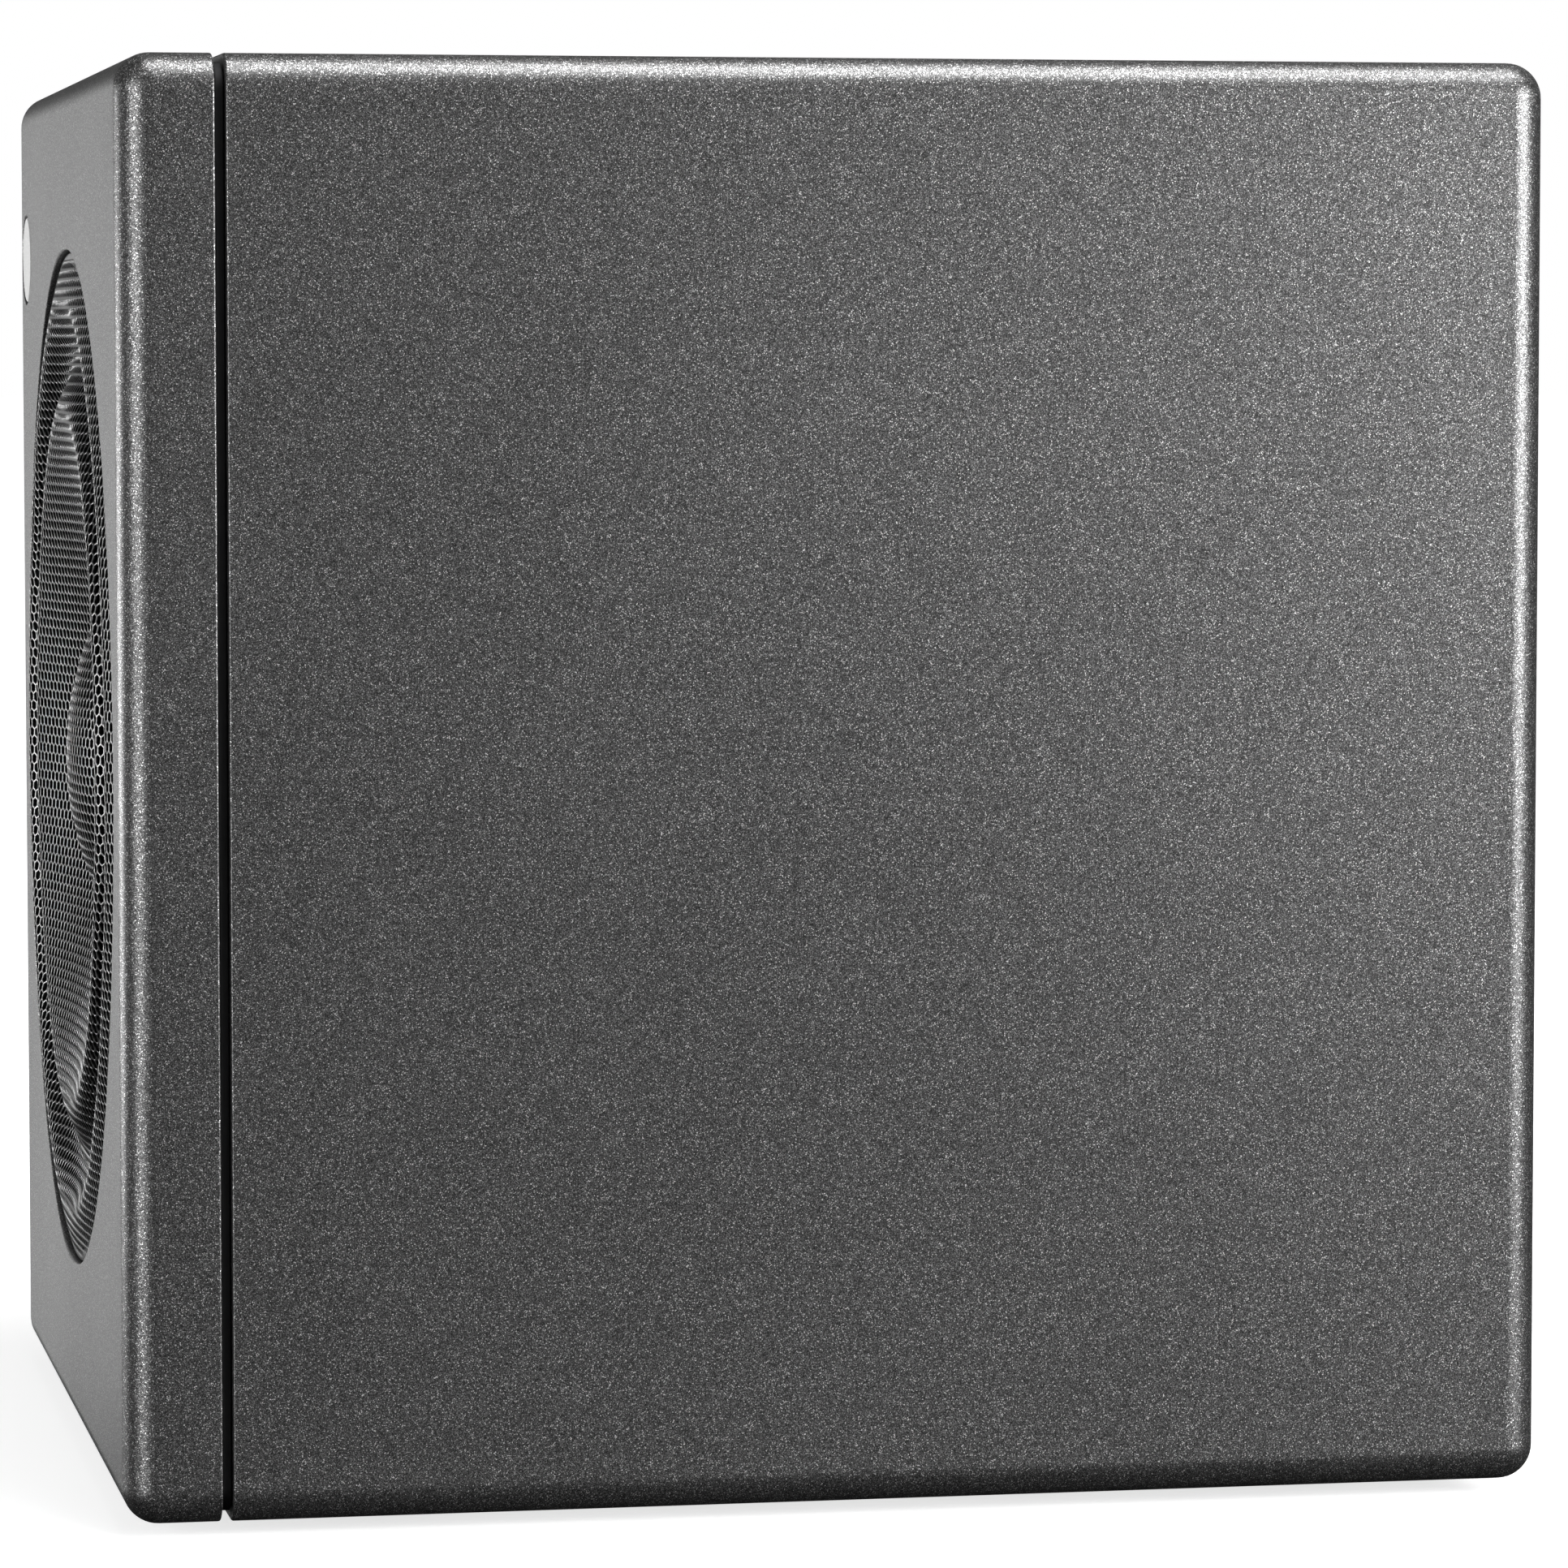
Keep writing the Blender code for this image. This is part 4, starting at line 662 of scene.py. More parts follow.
def make_grille():
    """The sheet in two halves, pressed to its shape, and the rolled rim round it."""
    crest_y = GRILLE_LOW.y
    flat, holes = perforated_sheet()
    radius = np.hypot(flat[:, 0], flat[:, 1])
    edge = RIM_OUTER - 0.3 * MM
    pull = np.minimum(1.0, edge / np.maximum(radius, 1e-9))
    depth = crest_y + grille_depth(np.minimum(radius, edge)) + flat[:, 2]
    places = np.column_stack([flat[:, 0] * pull, depth, MIDDLE_Z + flat[:, 1] * pull])
    on_left = places[holes[:, 0, 0], 0] < 0
    for side, faces in (("left", holes[on_left]), ("right", holes[~on_left])):
        used, corners = np.unique(faces, return_inverse=True)
        corners = corners.reshape(-1, 4)
        mesh = bpy.data.meshes.new(f"grille_webs_{side}")
        mesh.from_pydata(places[used].tolist(), [], corners.tolist())
        # every third quad round a hole is its wall, where the coat paints shade
        walls = mesh.attributes.new("hole_wall_painted_shade", "FLOAT", "FACE")
        walls.data.foreach_set("value", np.tile((0.0, 0.0, 1.0), len(corners) // 3))
        mesh.shade_smooth()
        mesh.set_sharp_from_angle(angle=math.radians(50))
        piece(f"grille_perforated_{side}", mesh, GRILLE_COAT_PAINTED_SHADE, "grille")

    rim_y = crest_y + float(grille_depth(np.array(RIM_INNER)))
    edge_y = crest_y + float(grille_depth(np.array(RIM_OUTER)))
    profile = [
        (RIM_INNER - 1.2 * MM, rim_y + 0.5 * MM),
        (RIM_INNER - 1.2 * MM, rim_y - 0.15 * MM),
        (RIM_OUTER - 0.7 * MM, edge_y - 0.15 * MM),
        (RIM_OUTER - 0.2 * MM, edge_y + 0.05 * MM),
        (RIM_OUTER, edge_y + 0.55 * MM),
        (RIM_OUTER, GRILLE_HIGH.y),
        (RIM_OUTER - 0.8 * MM, GRILLE_HIGH.y),
        (RIM_OUTER - 0.8 * MM, edge_y + 1.3 * MM),
    ]
    piece("grille_rim", turned_mesh("grille_rim", profile, 192), GRILLE_COAT_PAINTED_SHADE)


# ------------------------------------------------------------------------ rear plate
def selector_place(node):
    """The middle of a slide switch's slot; its cap rests at the lower end."""
    x, z = centre_of(node)
    return x, z + SELECTOR_TRAVEL / 2


def make_plate():
    through = PLATE_Y - 20 * MM, PLATE_Y + 20 * MM
    windows = [
        (NETWORK, (-8.4, -7.4, 8.4, 7.4)),
        (INLET, (-14.4, -16.4, 14.4, 20.4)),
        (ROCKER, (-9.9, -14.4, 9.9, 14.4)),
        *[(selector_place(node), (-3.4, -6, 3.4, 6)) for node in SELECTORS],
    ]
    latches = [box_fill(centre_of(node), (-4.6, 9, 4.6, 15.4), *through) for node in INPUTS]
    cuts = [
        rod_fill([centre_of(node) for node in INPUTS + OUTPUTS], 12.2 * MM, *through, 64),
        together(latches),
        rod_fill([centre_of(node) for node in KNOBS], 3.9 * MM, *through, 32),
        together([box_fill(place, box, *through, 0.8 * MM) for place, box in windows]),
        rod_fill([centre_of(node) for node in PLATE_SCREWS], 2.2 * MM, *through, 24),
    ]
    slab = slab_fill(PLATE_LOW, PLATE_HIGH, 2 * MM)
    formed("amp_plate_coated", slab, BLACK_STEEL, "amp_plate", cuts=cuts)


def make_plate_marks():
    """Plain printed marks: eleven ticks round each knob, three by each slide switch and
    a line over each pair of sockets."""
    bm = bmesh.new()
    low_y, high_y = PLATE_Y - 0.02 * MM, PLATE_Y + 0.06 * MM
    for node in KNOBS:
        x, z = centre_of(node)
        for step in range(11):
            turn = math.radians(-150 + 30 * step)
            end = 13.4 * MM if step in (0, 5, 10) else 12.4 * MM
            verts = add_box(bm, (-0.25 * MM, low_y, 10.4 * MM), (0.25 * MM, high_y, end))
            place = Matrix.Translation((x, 0, z)) @ Matrix.Rotation(turn, 4, "Y")
            bmesh.ops.transform(bm, matrix=place, verts=verts)
    for node in SELECTORS:
        for rise in (-4.4, 0, 4.4):
            end = 8.2 if rise else 6.8
            box = (5, rise - 0.2, end, rise + 0.2)
            box_fill(selector_place(node), box, low_y, high_y)(bm)
    for nodes in (INPUTS, OUTPUTS):
        (left, z), (right, z) = sorted(centre_of(node) for node in nodes)
        low = (left - 13 * MM, low_y, z + 20 * MM)
        add_box(bm, low, (right + 13 * MM, high_y, z + 20.5 * MM))
    piece("plate_marks", mesh_from("plate_marks", bm), INK)


def screw_mesh(head, height, shank, length, socket):
    """A round-headed screw with a hexagon socket; its head faces +Y."""
    axis = [(0, 0)]
    return finished(
        solid("screw", rod_fill(axis, head, 0, height, 40, head * 0.9)),
        joins=[rod_fill(axis, shank, 0.5 * MM - length, 0.5 * MM, 20)],
        cuts=[rod_fill(axis, socket, height * 0.4, height * 1.6, 6)],
        edge=0.3 * MM,
    )


def make_screws():
    """Plate screws face backwards; driver screws are turned round to face forwards."""
    plate_screw = screw_mesh(3.6 * MM, 2.2 * MM, 1.8 * MM, 13 * MM, 1.7 * MM)
    driver_screw = screw_mesh(4.3 * MM, 4 * MM, 2.3 * MM, 20 * MM, 2.4 * MM)
    seat_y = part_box(DRIVER_SCREWS[0])[0].y + 4 * MM
    for nodes, screw, y, turn in (
        (PLATE_SCREWS, plate_screw, FIXED_Y, 0),
        (DRIVER_SCREWS, driver_screw, seat_y, math.pi),
    ):
        for node in nodes:
            x, z = centre_of(node)
            mesh = screw.copy()
            mesh.transform(Matrix.Translation((x, y, z)) @ Matrix.Rotation(turn, 4, "Z"))
            piece(f"{node}_socket_head", mesh, BLACK_STEEL, node)


# ------------------------------------------------------------------------ connectors
def make_xlr(node):
    """A three-pole socket: inputs have a drilled insert and outputs have pins."""
    is_input = node in INPUTS
    low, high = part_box(node)
    x, z = centre_of(node)
    face, floor = high.y, high.y - 14 * MM
    turns = [math.radians(degrees) for degrees in (30, 150, 270)]
    contacts = [(x + 4.3 * MM * math.cos(t), z + 4.3 * MM * math.sin(t)) for t in turns]
    cuts = [rod_fill([(x, z)], 9.7 * MM, floor, face + 14 * MM, 64, 10.1 * MM)]
    if is_input:
        slot_box = (-4.2, 10.2, 4.2, 15)
        cuts.append(box_fill((x, z), slot_box, FIXED_Y - 12 * MM, face + 5 * MM))
    flange = slab_fill((low.x, FIXED_Y, low.z), (high.x, face, high.z), 2.6 * MM)
    barrel = rod_fill([(x, z)], 11.8 * MM, low.y, FIXED_Y + MM, 64)
    formed(f"{node}_shell", flange, NICKEL, node, joins=[barrel], cuts=cuts)
    if is_input:
        insert = rod_fill([(x, z)], 7.6 * MM, floor - MM, face - MM, 56)
        cuts = [
            rod_fill(contacts, 1.3 * MM, face - 9 * MM, face + 9 * MM, 24),
            box_fill((x, z), (-1.6, 6.4, 1.6, 9), face - 9 * MM, face + 9 * MM),
        ]
        formed(f"{node}_insert", insert, BLACK_PLASTIC, node, cuts=cuts, edge=0.25 * MM)
    else:
        base = rod_fill([(x, z)], 9.5 * MM, floor - MM, floor + 1.2 * MM, 56)
        formed(f"{node}_base", base, BLACK_PLASTIC, node)
        pins = rod_fill(contacts, 1.2 * MM, floor - 0.5 * MM, face - 5 * MM, 24)
        formed(f"{node}_pins", pins, NICKEL, node, edge=0.5 * MM)


def make_connector_screws():
    """Two small countersunk screws in each socket's flange."""
    bm = bmesh.new()
    for node in INPUTS + OUTPUTS:
        x, z = centre_of(node)
        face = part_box(node)[1].y
        places = [(x + s * 9.8 * MM, z - s * 12.3 * MM) for s in (-1, 1)]
        rod_fill(places, 1.9 * MM, face - 0.2 * MM, face + 0.5 * MM, 32, 1.5 * MM)(bm)
    piece("connector_screws", mesh_from("connector_screws", bm), BLACK_STEEL)


def make_thumb_piece(name, node, material, corner, rises, depth, width, edge, slot=None):
    """A slab on its own joint, with level grooves at some rises in millimetres."""
    low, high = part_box(node)
    cutter_low, cutter_high = (low.x - MM, high.y - depth), (high.x + MM, high.y + MM)

    def grooves(bm):
        for rise in rises:
            z = low.z + rise * MM
            add_box(bm, (*cutter_low, z), (*cutter_high, z + width))

    slab = slab_fill(low, high, corner)
    formed(name, slab, material, node, body=node, slot=slot, cuts=[grooves], edge=edge)


def make_latch(side):
    node, name = f"xlr_latch_{side}", f"xlr_latch_{side}_tab"
    rises, depth, width = (0.9, 1.9, 2.9), 0.35 * MM, 0.4 * MM
    make_thumb_piece(
        name, node, BLACK_PLASTIC, 0.9 * MM, rises, depth, width, 0.2 * MM, "nickel"
    )


def make_selector(node):
    rises, depth, width = (1, 2.1, 3.2, 4.3), 0.5 * MM, 0.5 * MM
    name = f"{node}_cap"
    make_thumb_piece(name, node, GREY_PLASTIC, 0.4 * MM, rises, depth, width, 0.15 * MM)


def make_network_socket():
    node = "network_socket"
    low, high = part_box(node)
    face = high.y
    cuts = [
        box_fill(NETWORK, (-5.9, -4, 5.9, 4.2), face - 14 * MM, face + 5 * MM),
        box_fill(NETWORK, (-3, -5.8, 3, -3), face - 13 * MM, face + 6 * MM),
    ]
    case = slab_fill(low, high, 0.7 * MM)
    formed("network_socket_shell", case, NICKEL, node, cuts=cuts, edge=0.3 * MM)

    bm = bmesh.new()
    x, z = NETWORK
    spring = [(-13.9, 4.1), (-13.9, 3.7), (-5, 3.5), (-8.5, 0.6), (-9, 0.8), (-4.2, 4.1)]
    outline = [(face + dy * MM, z + dz * MM) for dy, dz in spring]
    for number in range(8):
        at = x + (number - 3.5) * 1.02 * MM
        add_prism(bm, outline, at - 0.22 * MM, at + 0.22 * MM, "X")
    piece("network_contacts", mesh_from("network_contacts", bm), GOLD, node)


def make_mains_inlet():
    node = "mains_inlet"
    low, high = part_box(node)
    face = high.y
    x, z = INLET
    well = [(-12, -12.5), (12, -12.5), (12, 0), (8.2, 4), (-8.2, 4), (-12, 0)]
    outline = [(x + dx * MM, z + dz * MM) for dx, dz in well]
    cuts = [
        lambda bm: add_prism(bm, outline, face - 17 * MM, face + 10 * MM),
        box_fill(INLET, (-12, 8, 12, 17), face - 20 * MM, face + 10 * MM),
    ]
    flange_high = (high.x, FIXED_Y + 2.5 * MM, high.z)
    flange = slab_fill((low.x, FIXED_Y, low.z), flange_high, 2.2 * MM)
    housing = box_fill(INLET, (-14, -16, 14, 20), low.y, FIXED_Y + MM)
    shaping = {"joins": [housing], "cuts": cuts, "edge": 0.5 * MM}
    formed("mains_inlet_moulding", flange, BLACK_PLASTIC, node, **shaping)
    blades = [
        box_fill((x + dx * MM, z + dz * MM), (-1, -2, 1, 2), face - 18 * MM, face - 5 * MM)
        for dx, dz in ((-7, -6.5), (7, -6.5), (0, -1.5))
    ]
    formed("mains_inlet_blades", together(blades), NICKEL, node, edge=0.6 * MM)


def make_fuse_drawer():
    """The drawer with a cut for a fingertip, and the fuse that lies in it."""
    node = "fuse_drawer"
    low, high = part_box(node)
    x, z = centre_of(node)
    face = high.y
    cuts = [
        box_fill((x, z), (-10.5, -2.1, 10.5, 8), face - 18 * MM, face - 4 * MM),
        box_fill((x, z), (-4, 2.2, 4, 8), face - 1.4 * MM, face + 3 * MM),
    ]
    shaping = {"body": node, "cuts": cuts, "edge": 0.35 * MM}
    tray = slab_fill(low, high, 0.7 * MM)
    formed("fuse_drawer_tray", tray, BLACK_PLASTIC, node, **shaping)
    place = Matrix.Translation((x, face - 11 * MM, z + 0.6 * MM))
    lay = place @ Matrix.Rotation(math.pi / 2, 4, "Z")
    ends = [(0, 6.2), (2.6, 6.2), (2.6, 9.6), (2.3, 10), (0, 10)]
    for name, profile, material in (
        ("fuse_tube", [(0, -6.4), (2.3, -6.4), (2.3, 6.4), (0, 6.4)], LENS),
        ("fuse_cap_right", ends, NICKEL),
        ("fuse_cap_left", [(r, -y) for r, y in ends], NICKEL),
    ):
        mesh = turned_mesh(name, [(r * MM, y * MM) for r, y in profile], 40, z=0.0)
        mesh.transform(lay)
        piece(name, mesh, material, body=node)


def make_power_switch():
    """The bezel, and a dished rocker with the usual on and off marks."""
    low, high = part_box("power_switch_frame")
    face = high.y
    x, z = ROCKER
    bezel = slab_fill((low.x, FIXED_Y, low.z), (high.x, face, high.z), 2 * MM)
    housing = box_fill(ROCKER, (-9.5, -14, 9.5, 14), low.y, FIXED_Y + MM)
    well = box_fill(ROCKER, (-7.6, -12, 7.6, 12), FIXED_Y - 14 * MM, face + 9 * MM)
    shaping = {"joins": [housing], "cuts": [well]}
    formed("power_switch_bezel", bezel, BLACK_PLASTIC, "power_switch_frame", **shaping)

    half = 10.4 * MM

    def rise(along):
        """Height of the rocker's dished face above its pivot."""
        return (5.6 + 1.6 * (along / half) ** 2) * MM

    steps = [half * (i - 8) / 8 for i in range(17)]
    outline = [(rise(s), s) for s in steps]
    outline += [(0, half), (-3 * MM, 5.5 * MM), (-5 * MM, 0), (-3 * MM, -5.5 * MM), (0, -half)]
    place = Matrix.Translation((x, PLATE_Y - 4 * MM, z))
    tilt = place @ Matrix.Rotation(math.radians(10), 4, "X")
    block = solid("rocker", lambda bm: add_prism(bm, outline, -7.2 * MM, 7.2 * MM, "X"))
    mesh = finished(block, edge=0.6 * MM)
    mesh.transform(tilt)
    node = "power_rocker"
    piece("power_rocker_dished", mesh, BLACK_PLASTIC, node, body=node)

    low_y, high_y = -0.1 * MM, 0.12 * MM
    ring = [(1.3 * MM, low_y), (1.9 * MM, low_y), (1.9 * MM, high_y), (1.3 * MM, high_y)]
    bm = bmesh.new()
    bm.from_mesh(turned_mesh("ring", ring, 40, z=-6.4 * MM))
    box_fill((0, 0), (-0.35, 4.8, 0.35, 8), low_y, high_y)(bm)
    for vert in bm.verts:
        vert.co.y += rise(vert.co.z)
    mesh = mesh_from("power_rocker_marks", bm)
    mesh.transform(tilt)
    piece("power_rocker_marks", mesh, INK, body=node)


# -------------------------------------------------------------------------- controls
def make_knob(node):
    """A knob turned from a profile, fluted round its grip, with a white pointer."""
    low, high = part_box(node)
    x, z = centre_of(node)
    base, top = low.y, high.y
    profile = [
        (3.3 * MM, base),
        (7.6 * MM, base),
        (8 * MM, base + 0.4 * MM),
        (7.9 * MM, base + 2 * MM),
        (7.5 * MM, base + 2.5 * MM),
        (7.4 * MM, base + 2.8 * MM),
        (6.8 * MM, top - 1.1 * MM),
        (6.7 * MM, top - 0.7 * MM),
        (6.3 * MM, top - 0.2 * MM),
        (5.7 * MM, top),
        (5.2 * MM, top - 0.25 * MM),
        (0, top - 0.35 * MM),
        (0, base + 5.5 * MM),
        (3.3 * MM, base + 5.5 * MM),
    ]
    mesh = turned_mesh(f"{node}_fluted", profile, 160, x, z, angle=50)
    for vert in mesh.vertices:
        if base + 2.6 * MM < vert.co.y < top - 0.9 * MM:
            turn = math.atan2(vert.co.z - z, vert.co.x - x)
            groove = 0.955 + 0.045 * math.cos(20 * turn)
            vert.co.x = x + (vert.co.x - x) * groove
            vert.co.z = z + (vert.co.z - z) * groove
    piece(f"{node}_fluted", mesh, BLACK_PLASTIC, node, body=node)
    box = (-0.55, 0.8, 0.55, 6.1)
    pointer = box_fill((x, z), box, top - 0.6 * MM, top - 0.05 * MM, 0.5 * MM)
    formed(f"{node}_pointer", pointer, INK, body=node, edge=0.1 * MM)


def make_rear_sink():
    """One extrusion: a base with thirteen fins that taper to rounded tips."""
    low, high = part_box("rear_heat_sink")
    count, root, tip = 13, 1.0 * MM, 0.7 * MM
    base_y = low.y + 3 * MM
    first = low.x + 1.2 * MM
    pitch = (high.x - low.x - 2.4 * MM) / (count - 1)
    outline = [(low.x, low.y), (low.x, base_y)]
    for x in [first + i * pitch for i in range(count)]:
        start, end = max(low.x, x - root), min(high.x, x + root)
        outline += [(start, base_y), (start + 0.1 * MM, base_y + 0.7 * MM)]
        for turn in [math.pi * (1 - k / 8) for k in range(9)]:
            outline.append((x + tip * math.cos(turn), high.y - tip + tip * math.sin(turn)))
        outline += [(end - 0.1 * MM, base_y + 0.7 * MM), (end, base_y)]
    outline += [(high.x, base_y), (high.x, low.y)]
    bm = bmesh.new()
    add_prism(bm, list(dict.fromkeys(outline)), low.z, high.z, "Z")
    name = "rear_heat_sink_extrusion"
    piece(name, mesh_from(name, bm, 40), BLACK_STEEL, "rear_heat_sink")


# ----------------------------------------------------------------- inside the plate
def make_board(node, back, corner):
    """A board whose rear face lies some way behind the plate; returns that face's y."""
    low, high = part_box(node)
    board_y = PLATE_BACK_Y - back
    slab = slab_fill(
        (low.x, board_y - 1.6 * MM, low.z), (high.x, board_y, high.z), corner
    )
    formed(f"{node}_slab", slab, BOARD, node, edge=0.15 * MM)
    return board_y


def make_control_board():
    """The board with the knobs' potentiometers and the slide switches' bodies."""
    node = "control_board"
    board_y = make_board(node, 14 * MM, 1.5 * MM)
    knobs = [centre_of(knob) for knob in KNOBS]
    switches = [selector_place(selector) for selector in SELECTORS]
    pot_y, switch_y = PLATE_BACK_Y - 3 * MM, PLATE_BACK_Y - FIT_GAP
    slot_box, slot_y = (-2.8, -5.4, 2.8, 5.4), PLATE_BACK_Y - 6 * MM
    bodies = [box_fill(place, (-8, -8, 8, 8), board_y - MM, pot_y, MM) for place in knobs]
    bodies += [
        box_fill(place, (-5, -9, 5, 9), board_y - MM, switch_y, 0.5 * MM) for place in switches
    ]
    slots = [box_fill(place, slot_box, slot_y, PLATE_BACK_Y + MM) for place in switches]
    shaping = {"cuts": [together(slots)]}
    formed("control_bodies", together(bodies), BLACK_PLASTIC, node, **shaping)
    shafts = rod_fill(knobs, 3 * MM, PLATE_Y - 9 * MM, PLATE_Y + 5 * MM, 40)
    formed("control_shafts", shafts, NICKEL, node)


def make_main_board():
    """The board with its four capacitors, whose sleeves leave their tops bare."""
    node = "main_board"
    board_y = make_board(node, 26 * MM, 2 * MM)
    cans_y = board_y - 24 * MM
    places = [(x * MM, MIDDLE_Z + 20 * MM) for x in (-80, -52, 52, 80)]
    sleeves = rod_fill(places, 11 * MM, cans_y, board_y - MM)
    mouths = rod_fill(places, 9.6 * MM, cans_y - MM, cans_y + 0.4 * MM)
    shaping = {"cuts": [mouths], "edge": 0.8 * MM}
    formed("capacitor_sleeves", sleeves, BLACK_PLASTIC, node, **shaping)
    tops = rod_fill(places, 9.4 * MM, cans_y + 0.1 * MM, cans_y + 0.6 * MM)
    formed("capacitor_tops", tops, CAST, node, edge=0.1 * MM)


def make_transformer():
    """A toroid whose surface shows its bundled turns of wire."""
    node = "mains_transformer"
    low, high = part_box(node)
    x, z = centre_of(node)
    outer, bore = (high.x - low.x) / 2, 16 * MM
    half = [
        (outer - 3 * MM, high.y),
        (outer, high.y - 4 * MM),
        (outer, low.y + 4 * MM),
        (outer - 3 * MM, low.y),
        (bore + 2 * MM, low.y),
        (bore, low.y + 4 * MM),
        (bore, high.y - 4 * MM),
        (bore + 2 * MM, high.y),
    ]
    name = "mains_transformer_wound"
    mesh = turned_mesh(name, softened(half, 3 * MM), 480, x, z, angle=60)
    centre = Vector((x, (low.y + high.y) / 2, z))
    for vert in mesh.vertices:
        radial = Vector((vert.co.x - x, 0, vert.co.z - z))
        turn = math.atan2(radial.z, radial.x)
        core = centre + radial.normalized() * (outer + bore) / 2
        squeeze = 0.985 + 0.015 * math.cos(96 * turn)
        vert.co = core + (vert.co - core) * squeeze
    piece(name, mesh, COPPER, node)


# ---------------------------------------------------------------------------- woofer
def woofer_places(profile):
    """(radius, y) from (radius, distance in front of the flange) in millimetres."""
    return [(r * MM, DRIVER_Y - z * MM) for r, z in profile]


def woofer_turned(node, ending, profile, material, body=BODY):
    name = f"{node}_{ending}"
    piece(name, turned_mesh(name, woofer_places(profile), 128), material, node, body=body)


def window_fill(inner, outer, half, back, front):
    """Six windows round the basket, as blocks measured in millimetres."""
    size = Matrix.Diagonal(((outer - inner) * MM, (front - back) * MM, 2 * half * MM, 1))
    middle = Vector(((outer + inner) / 2 * MM, DRIVER_Y - (front + back) / 2 * MM, 0))

    def fill(bm):
        for i in range(6):
            turn = Matrix.Rotation(math.pi / 3 * (i + 0.5), 4, "Y")
            place = Matrix.Translation((0, 0, MIDDLE_Z)) @ turn
            place = place @ Matrix.Translation(middle) @ size
            bmesh.ops.create_cube(bm, size=1, matrix=place)

    return fill


def make_driver_frame():
    """The cast basket, with two rows of windows and the flange's screw holes."""
    profile = [
        (131.5, 0), (131.5, -6.9), (115, -6.9), (113, -26), (80, -64), (45, -64),
        (45, -60.5), (74, -60.5), (79, -44), (90, -44), (109.5, -25), (111.5, -3),
        (118.5, -3), (118.5, 0),
    ]
    places = softened(woofer_places(profile), 0.8 * MM)
    turned = turned_mesh("driver_frame_turned", places, 144)
    screws = [centre_of(node) for node in DRIVER_SCREWS]
    cuts = [
        window_fill(82, 130, 40, -42.5, -28),
        window_fill(66, 120, 26, -59, -47),
        rod_fill(screws, 2.7 * MM, DRIVER_Y - 20 * MM, DRIVER_Y + 20 * MM, 24),
    ]
    shaping = {"cuts": cuts, "edge": 0.7 * MM}
    formed("driver_frame_cast", lambda bm: bm.from_mesh(turned), CAST, "driver_frame", **shaping)


def make_motor():
    top_plate = [(70, -64.3), (70, -72.3), (27.5, -72.3), (27.5, -64.3)]
    magnet = [(78, -72.6), (78, -94.6), (38, -94.6), (38, -72.6)]
    yoke = [(8, -63), (24.5, -63), (24.5, -94.9), (70, -94.9), (70, -103), (8, -103)]
    for node, profile, material in (
        ("top_plate", top_plate, ZINC),
        ("magnet", magnet, FERRITE),
        ("yoke", yoke, ZINC),
    ):
        woofer_turned(node, "turned", softened(profile, 1.2), material)


def cone_height(radius):
    """The cone's curved flank, in millimetres, from its neck at 25.9 to 89.5."""
    share = (radius - 25.9) / (89.5 - 25.9)
    return -38 + share * 34.4 + 3 * math.sin(math.pi * share)


def make_cone():
    radii = [89.5 - 63.6 * i / 32 for i in range(33)]
    face = [(94, -2.6), (93, -2.6), (91.5, -2.75)] + [(r, cone_height(r)) for r in radii]
    woofer_turned("cone", "pressed", sheet(face, 1.0), PULP, CONE)
    edge = cone_height(42) + 0.9
    turns = [math.pi / 2 * i / 20 for i in range(21)]
    dome = [(42 * math.sin(t), edge + 10 * math.cos(t)) for t in turns]
    inner = [(max(0.0, r - 0.8), z - 0.7) for r, z in reversed(dome)]
    woofer_turned("dust_cap", "domed", dome + inner, PULP, CONE)
    former = [(25.4, -31), (25.4, -82), (25.0, -82), (25.0, -31)]
    woofer_turned("voice_coil_former", "rolled", former, CAST, CONE)
    coil = []
    for z in [-58.25 - 0.5 * layer for layer in range(44)]:
        coil += [(26.75, z + 0.25), (26.9, z)]
    coil += [(26.75, -80), (25.7, -80), (25.7, -58)]
    woofer_turned("voice_coil", "wound", coil, COPPER, CONE)


def on_woofer(radius, y, turn):
    """A place round the woofer's axis, from a radius in millimetres."""
    return (radius * MM * math.cos(turn), y, MIDDLE_Z + radius * MM * math.sin(turn))


def make_sectors(node, profile, count, material):
    """A suspension ring in sectors, each closed at its ends."""
    steps = 96 // count
    for number in range(count):
        bm = bmesh.new()
        turns = [2 * math.pi * (number + k / steps) / count for k in range(steps + 1)]
        rings = [
            [bm.verts.new(on_woofer(r, DRIVER_Y - z * MM, turn)) for r, z in profile]
            for turn in turns
        ]
        for a, b in zip(rings, rings[1:]):
            for i in range(len(profile)):
                n = (i + 1) % len(profile)
                bm.faces.new((a[i], a[n], b[n], b[i]))
        bm.faces.new(rings[0])
        bm.faces.new(rings[-1][::-1])
        name = f"{node}_sector_{number + 1:02d}"
        sector = piece(name, mesh_from(name, bm, 45), material, node, body=None)
        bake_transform(sector)


def make_suspension():
    """The rubber roll at the cone's edge and the ribbed cloth at its neck."""
    turns = [math.pi * i / 18 for i in range(19)]
    roll = [(118, -1.4), (113, -1.4)]
    roll += [(103.2 + 8.7 * math.cos(t), -1.4 + 8.7 * math.sin(t)) for t in turns]
    roll += [(93, -1.4), (90, -1.4)]
    make_sectors("surround", sheet(roll, 0.8), 24, RUBBER)
    damper = [(89, -42.8), (84, -42.8)]
    for share in [i / 36 for i in range(37)]:
        damper.append((80 - 51 * share, -42.8 + 2 * math.sin(2 * math.pi * 3 * share)))
    damper += [(27.5, -42.8), (25.9, -42.8)]
    make_sectors("spider", sheet(damper, 0.7), 12, CLOTH)


